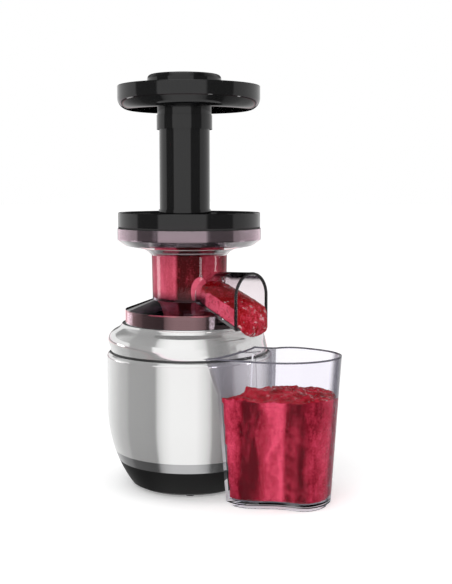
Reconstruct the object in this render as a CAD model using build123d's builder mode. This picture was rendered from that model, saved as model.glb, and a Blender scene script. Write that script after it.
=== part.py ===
"""Cold press juicer: motor base, juicing bowl, auger, lid, tray, pusher and jug.

Millimetres, +Z up. The origin is the centre of the bottom cover's flat underside, on the
main axis. The spout points along -Y and the rocker switch faces +Y.
"""

from build123d import *
import os
from math import acos, cos, pi, radians, sin, sqrt, tan

os.makedirs("parts", exist_ok=True)

# ------------------------------------------------------------------ driving dimensions
# housing heights, from the bottom cover upwards
base_tray_height = 26.5
trim_band_height = 10.0
body_height = 98.5
shoulder_height = 29.0

# housing outline
body_radius = 83.2
belly_arc_radius = 130.0
belly_start_height = 78.0
rim_rounding = 3.7
seam_groove_height = 2.0
seam_groove_depth = 1.8
shoulder_foot_inset = 4.0
deck_margin = 2.4
deck_lean = 1.3
housing_wall = 2.5
base_edge_chamfer = 3.5
cover_radius = 39.0
cover_thickness = 3.0
cover_ledge_radius = 31.5
cover_ledge_height = 2.0
foot_radius = 5.5
foot_circle_radius = 45.0
foot_height = 2.0
vent_count = 12
vent_length = 12.0
vent_width = 3.2
vent_circle_radius = 24.0
screw_head_radius = 3.2
screw_shank_radius = 1.6
screw_circle_radius = 35.0
screw_sunk = 0.5
plate_height = 2.8
drip_ring_radius = 54.5
drip_ring_height = 8.5

# clearances
part_gap = 0.3
running_clearance = 0.05

# motor
stator_radius = 36.0
stator_height = 40.0
rotor_radius = 20.0
air_gap = 0.5
coil_height = 6.0
coil_clearance = 1.0
stator_slot_count = 12
motor_shaft_radius = 4.0
motor_bearing_radius = 8.0
motor_bearing_height = 5.0
bracket_radius = 58.0
bracket_thickness = 2.5
bracket_ring_width = 2.5
bracket_height = 17.0
post_circle_radius = 53.0
post_radius = 4.0
fan_radius = 31.0
fan_height = 7.5
fan_blade_count = 9
fan_blade_thickness = 1.4
capacitor_radius = 9.0
capacitor_height = 42.0
shaft_end_gap = 1.5
fan_end_gap = 2.5
fan_plate = 1.5
blade_lean = 12.0

# gear train: a reverted pair of stages, so the output shaft lies on the motor's axis
first_module = 1.0
first_pinion_teeth = 12
first_gear_teeth = 60
second_module = 1.5
second_pinion_teeth = 10
second_gear_teeth = 38
backlash = 0.3
pressure_angle = 20.0
first_face_width = 8.0
second_face_width = 12.0
gear_gap = 1.0
gearbox_clearance = 1.5
gearbox_screw_inset = 4.0
gearbox_screw_height = 2.0
gearbox_wall = 3.0
gearbox_foot_height = 7.0
layshaft_radius = 4.0
layshaft_bearing_radius = 9.0
layshaft_bearing_height = 5.0
drive_shaft_radius = 6.5
drive_hex_across_flats = 11.0
drive_hex_length = 36.0
drive_hex_rise = 1.0
output_bearing_radius = 13.0
output_bearing_height = 9.0
hub_radius = 17.0
hub_height = 7.0
seal_height = 5.0

# rocker switch and cord gland at the back
switch_height = 92.0
switch_width = 28.0
switch_length = 38.0
switch_depth = 18.0
switch_proud = 1.4
rocker_width = 20.0
rocker_swing_radius = 14.7
rocker_pin_radius = 1.5
rocker_pin_reach = 1.8
rocker_depth = 5.0
rocker_dip = 1.6
rocker_lip_share = 0.88
rocker_waist_share = 0.4
switch_floor = 2.0
edge_rounding = 1.0
gland_height = 52.0
gland_radius = 6.0
gland_flange_radius = 9.0
gland_bore_radius = 3.5
gland_flange_height = 2.5
gland_stand_off = 0.5
gland_depth = 6.0

# juicing bowl
bowl_wall = 2.2
skirt_height = 13.5
skirt_radius = 64.6
cone_rise = 10.0
drum_base_radius = 37.2
drum_top_radius = 37.9
drum_height = 44.5
throat_radius = 46.5
throat_rise = 6.5
shelf_radius = 63.5
shelf_rise = 3.0
cup_radius = 71.6
cup_corner_rise = 6.0
cup_height = 11.0
bush_radius = 12.0
bush_height = 7.0
bush_wall = 3.0
bowl_seal_height = 3.0
journal_radius = 9.0
magnet_radius = 3.5
sensor_width = 9.0
sensor_length = 18.0
sensor_height = 5.0
hook_reach = 2.4
hook_height = 2.0
hook_drop = 1.0
lug_span = 16.0
lug_angles = (135.0, -76.5, 29.0)

# spout
spout_width = 45.7
spout_reach = 84.4
spout_ridge_height = 54.5
spout_ridge_rise = 2.0
spout_floor_start = 37.0
spout_floor_drop = 20.5

# pulp outlet
pulp_azimuth = 45.0
pulp_radius = 13.0
pulp_wall = 2.0
pulp_reach = 78.0
pulp_slope = 20.0
pulp_start_height = 12.0
packing_wall = 2.0
packing_length = 6.0

# strainer and auger
strainer_radius = 29.6
strainer_wall = 1.6
strainer_rise = 4.5
strainer_ring_height = 5.0
strainer_rib_count = 8
strainer_rib_width = 3.0
mesh_thickness = 0.5
auger_radius = 26.0
auger_core_top_radius = 12.0
auger_core_bottom_radius = 19.0
auger_height = 60.0
auger_pitch = 26.0
auger_flight_thickness = 4.0
auger_pin_radius = 5.0
auger_pin_height = 12.0
socket_depth = 22.0
socket_collar = 2.0

# lid, feed tube, tray and pusher
lid_radius = 70.9
lid_height = 14.0
lid_wall = 2.2
lid_deck_drop = 2.5
lid_skirt_gap = 2.9
lid_skirt_depth = 10.5
lug_height = 3.5
seal_ring_height = 1.7
boss_radius = 8.0
boss_gap = 1.0
tube_offset = 25.3
tube_azimuth = -144.8
tube_radius = 24.4
tube_bore_radius = 22.4
tube_length = 96.8
tube_foot_radius = 25.4
tube_foot_height = 6.0
tube_socket_radius = 26.9
tube_socket_depth = 13.6
tray_radius = 70.7
tray_height = 23.5
tray_wall = 2.5
tray_corner_radius = 12.0
tray_neck_radius = 26.3
tray_neck_height = 6.7
cap_radius = 35.8
cap_height = 29.2
cap_grip_depth = 14.0
cap_neck_radius = 27.0
cap_edge_radius = 4.0
cap_taper = 2.0
cap_shoulder = 5.0
stem_gap = 0.5
tip_height = 9.0
tip_clearance = 4.5

# jug
jug_height = 143.0
jug_wall = 2.2
jug_floor = 3.0
jug_foot_height = 4.0
jug_foot_inset = 3.5
jug_clearance = 4.3
jug_lip_height = 34.0
jug_lip_reach = 8.5
jug_crest_height = 7.0
jug_rib_foot_width = 20.0
jug_rib_top_width = 3.7
jug_rib_depth = 2.0
puree_depth = 100.0
puree_heap = 9.0
strand_mouth_height = 25.5
strand_rise = 19.0
strand_crown = 6.5
tongue_reach = 9.0
tongue_drop = 7.0

# shares of a size, for small forms
rounding_share = 0.35
capacitor_round_share = 0.15
tooth_heel_share = 0.9
web_hole_share = 0.08
first_hole_ring = 0.3
second_hole_ring = 0.32
flare_bend_share = 0.42
flare_bend_rise = 0.54
flare_wall_across = 0.75
slope_wall_share = 0.7
corner_wall_share = 0.5
bend_wall_share = 0.4
shelf_wall_share = 0.3
packing_place = 0.35
seal_seat_share = 0.5
tongue_belly_share = 0.55
tongue_front_share = 0.67
heap_inset_share = 0.3

# ------------------------------------------------------------------ heights that follow
z_floor_level = -foot_height
z_tray = base_tray_height
z_band = z_tray + trim_band_height
z_seam = z_band + body_height
z_shoulder = z_seam + seam_groove_height
z_deck = z_seam + shoulder_height
z_skirt = z_deck + part_gap
z_roof = z_skirt + skirt_height
z_bowl_floor = z_roof + cone_rise
z_throat = z_bowl_floor + drum_height
z_flare_bend = z_throat + throat_rise * flare_bend_rise
z_shelf = z_throat + throat_rise
z_cup_corner = z_shelf + shelf_rise
z_cup = z_cup_corner + cup_corner_rise
z_rim = z_cup + cup_height
z_lid = z_rim + part_gap + seal_ring_height
z_lid_top = z_lid + lid_height
z_lid_deck = z_lid_top - lid_deck_drop
z_lid_under = z_lid_deck - lid_wall
z_tube_top = z_lid_deck + tube_length
z_socket = z_tube_top - tube_socket_depth
z_tray_under = z_tube_top + tray_neck_height
z_tray_floor = z_tray_under + tray_wall
z_tray_rim = z_tray_under + tray_height
z_cap = z_tray_floor + part_gap
z_cap_top = z_cap + cap_height

deck_radius = skirt_radius + deck_margin
inner_skirt = skirt_radius - bowl_wall
flare_bend_radius = drum_top_radius + (throat_radius - drum_top_radius) * flare_bend_share
bowl_inner_radius = cup_radius - bowl_wall
lid_skirt_radius = bowl_inner_radius - lid_skirt_gap
drum_inner_radius = drum_base_radius - bowl_wall
foot_outer = body_radius - shoulder_foot_inset - seam_groove_depth
foot_inner = foot_outer - housing_wall
jug_hug_radius = body_radius + jug_clearance
tube_x = tube_offset * cos(radians(tube_azimuth))
tube_y = tube_offset * sin(radians(tube_azimuth))
tube_place = (tube_x, tube_y)


# ------------------------------------------------------------------ shared shapes
def belly(height, inset=0.0):
    """Radius of the housing's outline at a height, moved inwards by inset."""
    drop = max(belly_start_height - height, 0.0)
    arc = belly_arc_radius - inset
    return body_radius - belly_arc_radius + sqrt(arc**2 - drop**2)


def disc(low, high, outer, inner=0.0, place=(0.0, 0.0), mode=Mode.ADD):
    """A disc or a ring between two heights, in the part that is being built."""
    with BuildSketch(Plane.XY.offset(low)) as ring:
        with Locations(place):
            Circle(outer)
            if inner > 0.0:
                Circle(inner, mode=Mode.SUBTRACT)
    extrude(ring.sketch, amount=high - low, mode=mode)


def turned(points, mode=Mode.ADD, place=(0.0, 0.0)):
    """A closed (radius, height) outline, turned about a vertical axis."""
    plane = Plane(origin=(place[0], place[1], 0.0), x_dir=(1, 0, 0), z_dir=(0, -1, 0))
    with BuildSketch(plane) as profile:
        with BuildLine():
            Polyline(*points, close=True)
        make_face()
    revolve(profile.sketch, axis=Axis((place[0], place[1], 0.0), (0, 0, 1)), mode=mode)


def longest_circle(part, layer):
    """The longest circular edge in one of a part's horizontal layers, from the bottom up."""
    rings = part.edges().filter_by(GeomType.CIRCLE).group_by(Axis.Z)
    return rings[layer].sort_by(SortBy.LENGTH)[-1]


def housing_shell(low, high):
    """A stretch of the housing's curved wall, with a turned-in rim where it reaches the seam."""
    middle = (low + high) / 2.0
    with BuildSketch(Plane.XZ) as profile:
        with BuildLine():
            if low < belly_start_height < high:
                bend = (low + belly_start_height) / 2.0
                outer_start = (belly(low), low)
                inner_start = (belly(low, housing_wall), low)
                outer_end = (body_radius, belly_start_height)
                inner_end = (body_radius - housing_wall, belly_start_height)
                ThreePointArc(outer_start, (belly(bend), bend), outer_end)
                rim_start = (body_radius, high - rim_rounding)
                rim_end = (body_radius - rim_rounding, high)
                rim_cut = rim_rounding * (1.0 - sqrt(0.5))
                Line(outer_end, rim_start)
                ThreePointArc(rim_start, (body_radius - rim_cut, high - rim_cut), rim_end)
                Polyline(
                    rim_end,
                    (foot_inner, high),
                    (foot_inner, high - housing_wall),
                    (body_radius - rim_rounding, high - housing_wall),
                    (body_radius - housing_wall, high - rim_rounding),
                    inner_end,
                )
                ThreePointArc(inner_end, (belly(bend, housing_wall), bend), inner_start)
                Line(inner_start, outer_start)
            else:
                outer_start = (belly(low), low)
                outer_end = (belly(high), high)
                inner_start = (belly(low, housing_wall), low)
                inner_end = (belly(high, housing_wall), high)
                ThreePointArc(outer_start, (belly(middle), middle), outer_end)
                Line(outer_end, inner_end)
                ThreePointArc(inner_end, (belly(middle, housing_wall), middle), inner_start)
                Line(inner_start, outer_start)
        make_face()
    revolve(profile.sketch, axis=Axis.Z)


def tooth_half_angle(teeth, pitch_radius, radius):
    """Half the angle that an involute tooth takes up at a radius, less the backlash."""
    pressure = radians(pressure_angle)
    base_radius = pitch_radius * cos(pressure)
    angle = pi / (2 * teeth) + tan(pressure) - pressure
    if radius > base_radius:
        roll = acos(base_radius / radius)
        angle -= tan(roll) - roll
    return angle - backlash / (2 * pitch_radius)


def toothed_disc(module, teeth, low, height, bore, place=(0.0, 0.0), phase=0.0):
    """A spur gear whose teeth follow the involute at their root, pitch and tip."""
    pitch_radius = module * teeth / 2.0
    root = pitch_radius - 1.25 * module
    tip = pitch_radius + 0.85 * module
    radii = (root, pitch_radius, tip) if teeth < 20 else (root, tip)
    upper = []
    for radius in radii:
        half = tooth_half_angle(teeth, pitch_radius, radius)
        upper.append((radius * cos(half), radius * sin(half)))
    heel = (root * tooth_heel_share, upper[0][1] * tooth_heel_share)
    flank = [heel] + upper
    mirrored = [(x, -y) for x, y in reversed(flank)]
    with BuildSketch(Plane.XY.offset(low)) as face:
        with Locations(place):
            Circle(root)
            with PolarLocations(0.0, teeth, start_angle=phase):
                Polygon(*(mirrored + flank), align=None)
            if bore > 0.0:
                Circle(bore, mode=Mode.SUBTRACT)
    extrude(face.sketch, amount=height)


# ------------------------------------------------------------------ housing
with BuildPart() as bottom_cover:
    disc(0.0, cover_thickness, cover_radius)
    with BuildSketch(Plane.XY) as vents:
        with PolarLocations(vent_circle_radius, vent_count):
            SlotOverall(vent_length, vent_width)
    extrude(vents.sketch, amount=cover_thickness, mode=Mode.SUBTRACT)
    with BuildSketch(Plane.XY) as screw_holes:
        with PolarLocations(screw_circle_radius, 4, start_angle=45.0):
            Circle(screw_head_radius)
    extrude(screw_holes.sketch, amount=cover_thickness, mode=Mode.SUBTRACT)
bottom_cover.part.label = "bottom_cover"
export_step(bottom_cover.part, "parts/bottom_cover.step")

with BuildPart() as feet:
    with BuildSketch(Plane.XY.offset(-foot_height)):
        with PolarLocations(foot_circle_radius, 4, start_angle=45.0):
            Circle(foot_radius)
    extrude(amount=foot_height)
    chamfer(feet.edges().group_by(Axis.Z)[0], length=foot_height * rounding_share)
feet.part.label = "feet"
export_step(feet.part, "parts/feet.step")

with BuildPart() as base_tray:
    floor_edge = belly(0.0)
    floor_edge_inner = belly(cover_thickness, housing_wall)
    middle = z_tray / 2.0
    with BuildSketch(Plane.XZ) as tray_profile:
        with BuildLine():
            ThreePointArc((floor_edge, 0.0), (belly(middle), middle), (belly(z_tray), z_tray))
            Line((belly(z_tray), z_tray), (belly(z_tray, housing_wall), z_tray))
            ThreePointArc(
                (belly(z_tray, housing_wall), z_tray),
                (belly(middle, housing_wall), middle),
                (floor_edge_inner, cover_thickness),
            )
            Polyline(
                (floor_edge_inner, cover_thickness),
                (cover_radius, cover_thickness),
                (cover_radius, 0.0),
                (floor_edge, 0.0),
            )
        make_face()
    revolve(axis=Axis.Z)
    chamfer(longest_circle(base_tray, 0), length=base_edge_chamfer)
    # the ledge that the cover is screwed to
    disc(cover_thickness, cover_thickness + cover_ledge_height, cover_radius + housing_wall,
         cover_ledge_radius)
    with BuildSketch(Plane.XY.offset(cover_thickness)) as shank_holes:
        with PolarLocations(screw_circle_radius, 4, start_angle=45.0):
            Circle(screw_shank_radius)
    extrude(shank_holes.sketch, amount=cover_ledge_height, mode=Mode.SUBTRACT)
    # screw posts that carry the lower motor bracket
    with BuildSketch(Plane.XY.offset(cover_thickness)) as posts:
        with PolarLocations(post_circle_radius, 4, start_angle=45.0):
            Circle(post_radius)
    extrude(posts.sketch, amount=bracket_height - cover_thickness)
base_tray.part.label = "base_tray"
export_step(base_tray.part, "parts/base_tray.step")

with BuildPart() as trim_band:
    housing_shell(z_tray, z_band)
trim_band.part.label = "trim_band"
export_step(trim_band.part, "parts/trim_band.step")

switch_face = body_radius + switch_proud
switch_back = switch_face - switch_depth
back_plane = Plane(origin=(0.0, switch_back, switch_height), x_dir=(-1, 0, 0), z_dir=(0, 1, 0))
gland_plane = Plane(origin=(0.0, 0.0, gland_height), x_dir=(-1, 0, 0), z_dir=(0, 1, 0))
gland_wall = belly(gland_height + gland_flange_radius)

with BuildPart() as housing_body:
    housing_shell(z_band, z_seam)
    with BuildSketch(back_plane) as switch_hole:
        Rectangle(switch_width, switch_length)
    extrude(switch_hole.sketch, amount=switch_depth * 2.0, mode=Mode.SUBTRACT)
    with BuildSketch(gland_plane) as gland_hole:
        Circle(gland_radius)
    extrude(gland_hole.sketch, amount=body_radius, mode=Mode.SUBTRACT)
housing_body.part.label = "housing_body"
export_step(housing_body.part, "parts/housing_body.step")

# the shoulder from its foot up: share of its height, inset from the body, lean to the back
shoulder_levels = [(0.0, shoulder_foot_inset, 0.4), (0.17, 3.7, 1.9), (0.37, 3.6, 3.7),
                   (0.56, 5.1, 3.9), (0.74, 9.6, 3.3), (1.0, body_radius - deck_radius, deck_lean)]


def shoulder_form(inset, low, high, mode=Mode.ADD):
    """The shoulder's pillow form between two heights, moved inwards by inset."""
    faces = []
    for share, drawn_in, lean in shoulder_levels:
        with BuildSketch(Plane.XY.offset(low + (high - low) * share)) as level:
            with Locations((0.0, lean)):
                Circle(body_radius - drawn_in - inset)
        faces.append(level.sketch.face())
    loft(sections=faces, mode=mode)


with BuildPart() as housing_shoulder:
    inner_low = z_shoulder + housing_wall
    inner_top = z_deck - housing_wall
    shoulder_form(0.0, z_shoulder, z_deck)
    shoulder_form(housing_wall, inner_low, inner_top, mode=Mode.SUBTRACT)
    disc(z_shoulder, inner_low, foot_inner, mode=Mode.SUBTRACT)
    disc(z_seam, z_shoulder, foot_outer, foot_inner)
    disc(z_deck, z_deck + hub_height, hub_radius)
    disc(inner_top, z_deck + hub_height, output_bearing_radius, mode=Mode.SUBTRACT)
housing_shoulder.part.label = "housing_shoulder"
export_step(housing_shoulder.part, "parts/housing_shoulder.step")

with BuildPart() as deck_plate:
    # a round plate that centres the bowl's skirt, with a ring that holds drips back
    turned([
        (hub_radius + part_gap, z_deck),
        (inner_skirt - part_gap, z_deck),
        (inner_skirt - part_gap, z_deck + plate_height),
        (drip_ring_radius, z_deck + plate_height),
        (drip_ring_radius, z_deck + drip_ring_height),
        (drip_ring_radius - housing_wall, z_deck + drip_ring_height),
        (drip_ring_radius - housing_wall, z_deck + plate_height),
        (hub_radius + part_gap, z_deck + plate_height),
    ])
deck_plate.part.label = "deck_plate"
export_step(deck_plate.part, "parts/deck_plate.step")

with BuildPart() as cover_screws:
    with BuildSketch(Plane.XY.offset(screw_sunk)):
        with PolarLocations(screw_circle_radius, 4, start_angle=45.0):
            Circle(screw_head_radius)
    extrude(amount=cover_thickness - screw_sunk)
    with BuildSketch(Plane.XY.offset(cover_thickness)):
        with PolarLocations(screw_circle_radius, 4, start_angle=45.0):
            Circle(screw_shank_radius)
    extrude(amount=cover_ledge_height)
cover_screws.part.label = "cover_screws"
export_step(cover_screws.part, "parts/cover_screws.step")

# ------------------------------------------------------------------ motor
z_bracket_top = bracket_height + bracket_thickness
z_stator = z_bracket_top + coil_height + part_gap
z_stator_top = z_stator + stator_height
z_upper_bracket = z_stator_top + coil_height + part_gap
z_upper_bracket_top = z_upper_bracket + bracket_thickness
bearing_hub_radius = motor_bearing_radius + bracket_ring_width

with BuildPart() as motor_bracket_lower:
    disc(bracket_height, z_bracket_top, bracket_radius, motor_bearing_radius)
    disc(z_bracket_top, z_stator, stator_radius, stator_radius - bracket_ring_width)
    disc(z_bracket_top, bracket_height + motor_bearing_height, bearing_hub_radius, motor_bearing_radius)
    with BuildSketch(Plane.XY.offset(bracket_height)) as slots:
        with PolarLocations((bearing_hub_radius + stator_radius) / 2.0, 6, start_angle=30.0):
            SlotOverall(stator_radius - bearing_hub_radius - 3 * bracket_ring_width, vent_width * 2.0)
    extrude(slots.sketch, amount=bracket_thickness, mode=Mode.SUBTRACT)
motor_bracket_lower.part.label = "motor_bracket_lower"
export_step(motor_bracket_lower.part, "parts/motor_bracket_lower.step")

with BuildPart() as motor_bracket_upper:
    disc(z_upper_bracket, z_upper_bracket_top, stator_radius, motor_bearing_radius)
    disc(z_stator_top, z_upper_bracket, stator_radius, stator_radius - bracket_ring_width)
    disc(
        z_upper_bracket_top - motor_bearing_height,
        z_upper_bracket,
        bearing_hub_radius,
        motor_bearing_radius,
    )
motor_bracket_upper.part.label = "motor_bracket_upper"
export_step(motor_bracket_upper.part, "parts/motor_bracket_upper.step")

with BuildPart() as motor_stator:
    disc(z_stator, z_stator_top, stator_radius, rotor_radius + air_gap)
    with BuildSketch(Plane.XY.offset(z_stator)) as lamination_slots:
        with PolarLocations(rotor_radius + air_gap + coil_height, stator_slot_count):
            Rectangle(coil_height * 1.3, vent_width)
    extrude(lamination_slots.sketch, amount=stator_height, mode=Mode.SUBTRACT)
motor_stator.part.label = "motor_stator"
export_step(motor_stator.part, "parts/motor_stator.step")

coil_outer = stator_radius - bracket_ring_width - coil_clearance
coil_inner = rotor_radius + 2.0 * coil_clearance
with BuildPart() as motor_windings:
    disc(z_stator - coil_height, z_stator, coil_outer, coil_inner)
    disc(z_stator_top, z_stator_top + coil_height, coil_outer, coil_inner)
motor_windings.part.label = "motor_windings"
export_step(motor_windings.part, "parts/motor_windings.step")

with BuildPart() as motor_bearings:
    disc(bracket_height, bracket_height + motor_bearing_height, motor_bearing_radius,
         motor_shaft_radius + running_clearance)
    disc(z_upper_bracket_top - motor_bearing_height, z_upper_bracket_top, motor_bearing_radius,
         motor_shaft_radius + running_clearance)
motor_bearings.part.label = "motor_bearings"
export_step(motor_bearings.part, "parts/motor_bearings.step")

with BuildPart() as run_capacitor:
    capacitor_place = (-(stator_radius + bracket_radius) / 2.0, 0.0)
    disc(z_bracket_top, z_bracket_top + capacitor_height, capacitor_radius, place=capacitor_place)
    fillet(run_capacitor.edges().group_by(Axis.Z)[-1], radius=capacitor_radius * capacitor_round_share)
run_capacitor.part.label = "run_capacitor"
export_step(run_capacitor.part, "parts/run_capacitor.step")

# gear train heights
z_gearbox = z_upper_bracket_top + gearbox_foot_height
z_gearbox_inside = z_gearbox + gearbox_wall
z_first_gear = z_gearbox_inside + layshaft_bearing_height
z_second_gear = z_first_gear + first_face_width + 3.0 * gear_gap
z_pinion_top = z_first_gear + first_face_width + gear_gap
z_gearbox_cover = z_second_gear + second_face_width + output_bearing_height
z_gearbox_top = z_gearbox_cover + gearbox_wall
layshaft_offset = first_module * (first_pinion_teeth + first_gear_teeth) / 2.0
layshaft_place = (layshaft_offset, 0.0)

with BuildPart() as rotor_shaft:
    disc(cover_thickness + shaft_end_gap, z_first_gear - gear_gap, motor_shaft_radius)
    toothed_disc(first_module, first_pinion_teeth, z_first_gear - gear_gap,
                 z_pinion_top - z_first_gear + gear_gap, 0.0)
rotor_shaft.part.label = "rotor_shaft"
export_step(rotor_shaft.part, "parts/rotor_shaft.step")

with BuildPart() as rotor_core:
    disc(z_stator, z_stator_top, rotor_radius, motor_shaft_radius)
rotor_core.part.label = "rotor_core"
export_step(rotor_core.part, "parts/rotor_core.step")

with BuildPart() as cooling_fan:
    z_fan = cover_thickness + fan_end_gap
    z_fan_top = z_fan + fan_height
    disc(z_fan_top - fan_plate, z_fan_top, fan_radius, motor_shaft_radius)
    disc(z_fan, z_fan_top, motor_shaft_radius * 2.0, motor_shaft_radius)
    with BuildSketch(Plane.XY.offset(z_fan)) as blades:
        with PolarLocations((fan_radius + motor_shaft_radius * 2.0) / 2.0, fan_blade_count):
            Rectangle(fan_radius - motor_shaft_radius * 2.0, fan_blade_thickness, rotation=blade_lean)
        Circle(motor_shaft_radius, mode=Mode.SUBTRACT)
    extrude(blades.sketch, amount=fan_height)
cooling_fan.part.label = "cooling_fan"
export_step(cooling_fan.part, "parts/cooling_fan.step")

with BuildPart() as layshaft:
    disc(z_gearbox_inside, z_second_gear - gear_gap, layshaft_radius, place=layshaft_place)
    toothed_disc(second_module, second_pinion_teeth, z_second_gear - gear_gap,
                 second_face_width + 2.0 * gear_gap, 0.0, place=layshaft_place)
    disc(z_second_gear + second_face_width + gear_gap, z_gearbox_cover, layshaft_radius,
         place=layshaft_place)
layshaft.part.label = "layshaft"
export_step(layshaft.part, "parts/layshaft.step")

with BuildPart() as layshaft_gear:
    toothed_disc(first_module, first_gear_teeth, z_first_gear, first_face_width,
                 layshaft_radius, place=layshaft_place, phase=180.0 + 180.0 / first_gear_teeth)
    with BuildSketch(Plane.XY.offset(z_first_gear)) as lightening:
        with Locations(layshaft_place):
            with PolarLocations(first_gear_teeth * first_module * first_hole_ring, 6):
                Circle(first_gear_teeth * first_module * web_hole_share)
    extrude(lightening.sketch, amount=first_face_width, mode=Mode.SUBTRACT)
layshaft_gear.part.label = "layshaft_gear"
export_step(layshaft_gear.part, "parts/layshaft_gear.step")

with BuildPart() as output_gear:
    toothed_disc(second_module, second_gear_teeth, z_second_gear, second_face_width,
                 drive_shaft_radius, phase=180.0 / second_gear_teeth)
    with BuildSketch(Plane.XY.offset(z_second_gear)) as lightening:
        with PolarLocations(second_gear_teeth * second_module * second_hole_ring, 6):
            Circle(second_gear_teeth * second_module * web_hole_share)
    extrude(lightening.sketch, amount=second_face_width, mode=Mode.SUBTRACT)
output_gear.part.label = "output_gear"
export_step(output_gear.part, "parts/output_gear.step")

z_hex = z_deck + hub_height + drive_hex_rise
with BuildPart() as drive_shaft:
    disc(z_second_gear, z_hex, drive_shaft_radius)
    with BuildSketch(Plane.XY.offset(z_hex)) as hex_end:
        RegularPolygon(drive_hex_across_flats / 2.0, 6, major_radius=False)
    extrude(hex_end.sketch, amount=drive_hex_length)
    chamfer(drive_shaft.edges().group_by(Axis.Z)[-1], length=drive_hex_rise)
drive_shaft.part.label = "drive_shaft"
export_step(drive_shaft.part, "parts/drive_shaft.step")

first_tip = first_module * first_gear_teeth / 2.0 + first_module
gearbox_outer = first_tip + gearbox_clearance + gearbox_wall


def gearbox_outline(inset):
    """Outline round both gear axes, moved inwards by inset."""
    with Locations((layshaft_offset / 2.0, 0.0)):
        SlotOverall(layshaft_offset + 2.0 * (gearbox_outer - inset), 2.0 * (gearbox_outer - inset))


with BuildPart() as gearbox_housing:
    with BuildSketch(Plane.XY.offset(z_gearbox)) as box_outside:
        gearbox_outline(0.0)
    extrude(box_outside.sketch, amount=z_gearbox_cover - z_gearbox)
    with BuildSketch(Plane.XY.offset(z_gearbox_inside)) as box_inside:
        gearbox_outline(gearbox_wall)
    extrude(box_inside.sketch, amount=z_gearbox_cover, mode=Mode.SUBTRACT)
    disc(z_gearbox, z_gearbox_inside, first_module * first_pinion_teeth / 2.0 + 2.0 * gear_gap,
         mode=Mode.SUBTRACT)
    disc(z_gearbox_inside, z_gearbox_inside + layshaft_bearing_height - gear_gap,
         layshaft_bearing_radius + gearbox_wall, layshaft_bearing_radius, place=layshaft_place)
    with BuildSketch(Plane.XY.offset(z_upper_bracket_top)) as box_feet:
        with PolarLocations(stator_radius - post_radius, 4, start_angle=45.0):
            Circle(post_radius)
    extrude(box_feet.sketch, amount=gearbox_foot_height)
gearbox_housing.part.label = "gearbox_housing"
export_step(gearbox_housing.part, "parts/gearbox_housing.step")

with BuildPart() as gearbox_cover:
    with BuildSketch(Plane.XY.offset(z_gearbox_cover)) as lid_plate:
        gearbox_outline(0.0)
        Circle(output_bearing_radius, mode=Mode.SUBTRACT)
    extrude(lid_plate.sketch, amount=gearbox_wall)
    disc(z_gearbox_top - output_bearing_height + gear_gap, z_gearbox_cover,
         output_bearing_radius + gearbox_wall, output_bearing_radius)
    disc(z_gearbox_cover - layshaft_bearing_height, z_gearbox_cover,
         layshaft_bearing_radius + gearbox_wall, layshaft_bearing_radius, place=layshaft_place)
gearbox_cover.part.label = "gearbox_cover"
export_step(gearbox_cover.part, "parts/gearbox_cover.step")

with BuildPart() as gearbox_screws:
    screw_row = gearbox_outer - gearbox_screw_inset
    with BuildSketch(Plane.XY.offset(z_gearbox_top)):
        for side in (-screw_row, screw_row):
            with Locations((0.0, side), (layshaft_offset, side)):
                Circle(screw_head_radius)
    extrude(amount=gearbox_screw_height)
gearbox_screws.part.label = "gearbox_screws"
export_step(gearbox_screws.part, "parts/gearbox_screws.step")

with BuildPart() as layshaft_bearings:
    disc(z_gearbox_inside, z_gearbox_inside + layshaft_bearing_height - gear_gap, layshaft_bearing_radius,
         layshaft_radius + running_clearance, place=layshaft_place)
    disc(z_gearbox_cover - layshaft_bearing_height, z_gearbox_cover, layshaft_bearing_radius,
         layshaft_radius + running_clearance, place=layshaft_place)
layshaft_bearings.part.label = "layshaft_bearings"
export_step(layshaft_bearings.part, "parts/layshaft_bearings.step")

with BuildPart() as output_bearing:
    disc(z_gearbox_top - output_bearing_height + gear_gap, z_gearbox_top, output_bearing_radius,
         drive_shaft_radius + running_clearance)
output_bearing.part.label = "output_bearing"
export_step(output_bearing.part, "parts/output_bearing.step")

with BuildPart() as drive_seal:
    disc(z_deck + hub_height - seal_height, z_deck + hub_height, output_bearing_radius,
         drive_shaft_radius + running_clearance)
drive_seal.part.label = "drive_seal"
export_step(drive_seal.part, "parts/drive_seal.step")

# ------------------------------------------------------------------ switch and gland
cavity_length = 2.0 * (rocker_swing_radius + part_gap)
cavity_width = rocker_width + 2.0 * part_gap
rocker_pivot_y = switch_face - rocker_depth
rocker_plane = Plane(
    origin=(0.0, rocker_pivot_y, switch_height),
    x_dir=(0, 1, 0),
    z_dir=(1, 0, 0),
)

with BuildPart() as switch_bezel:
    with BuildSketch(back_plane) as bezel_block:
        Rectangle(switch_width, switch_length)
    extrude(bezel_block.sketch, amount=switch_depth)
    fillet(switch_bezel.edges().group_by(Axis.Y)[-1], radius=edge_rounding)
    with BuildSketch(back_plane.offset(switch_floor)) as bezel_cavity:
        Rectangle(cavity_width, cavity_length)
    extrude(bezel_cavity.sketch, amount=switch_depth, mode=Mode.SUBTRACT)
    with BuildSketch(rocker_plane) as pin_hole:
        Circle(rocker_pin_radius + running_clearance)
    extrude(pin_hole.sketch, amount=rocker_width / 2.0 + rocker_pin_reach + part_gap, both=True,
            mode=Mode.SUBTRACT)
switch_bezel.part.label = "switch_bezel"
export_step(switch_bezel.part, "parts/switch_bezel.step")

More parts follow.
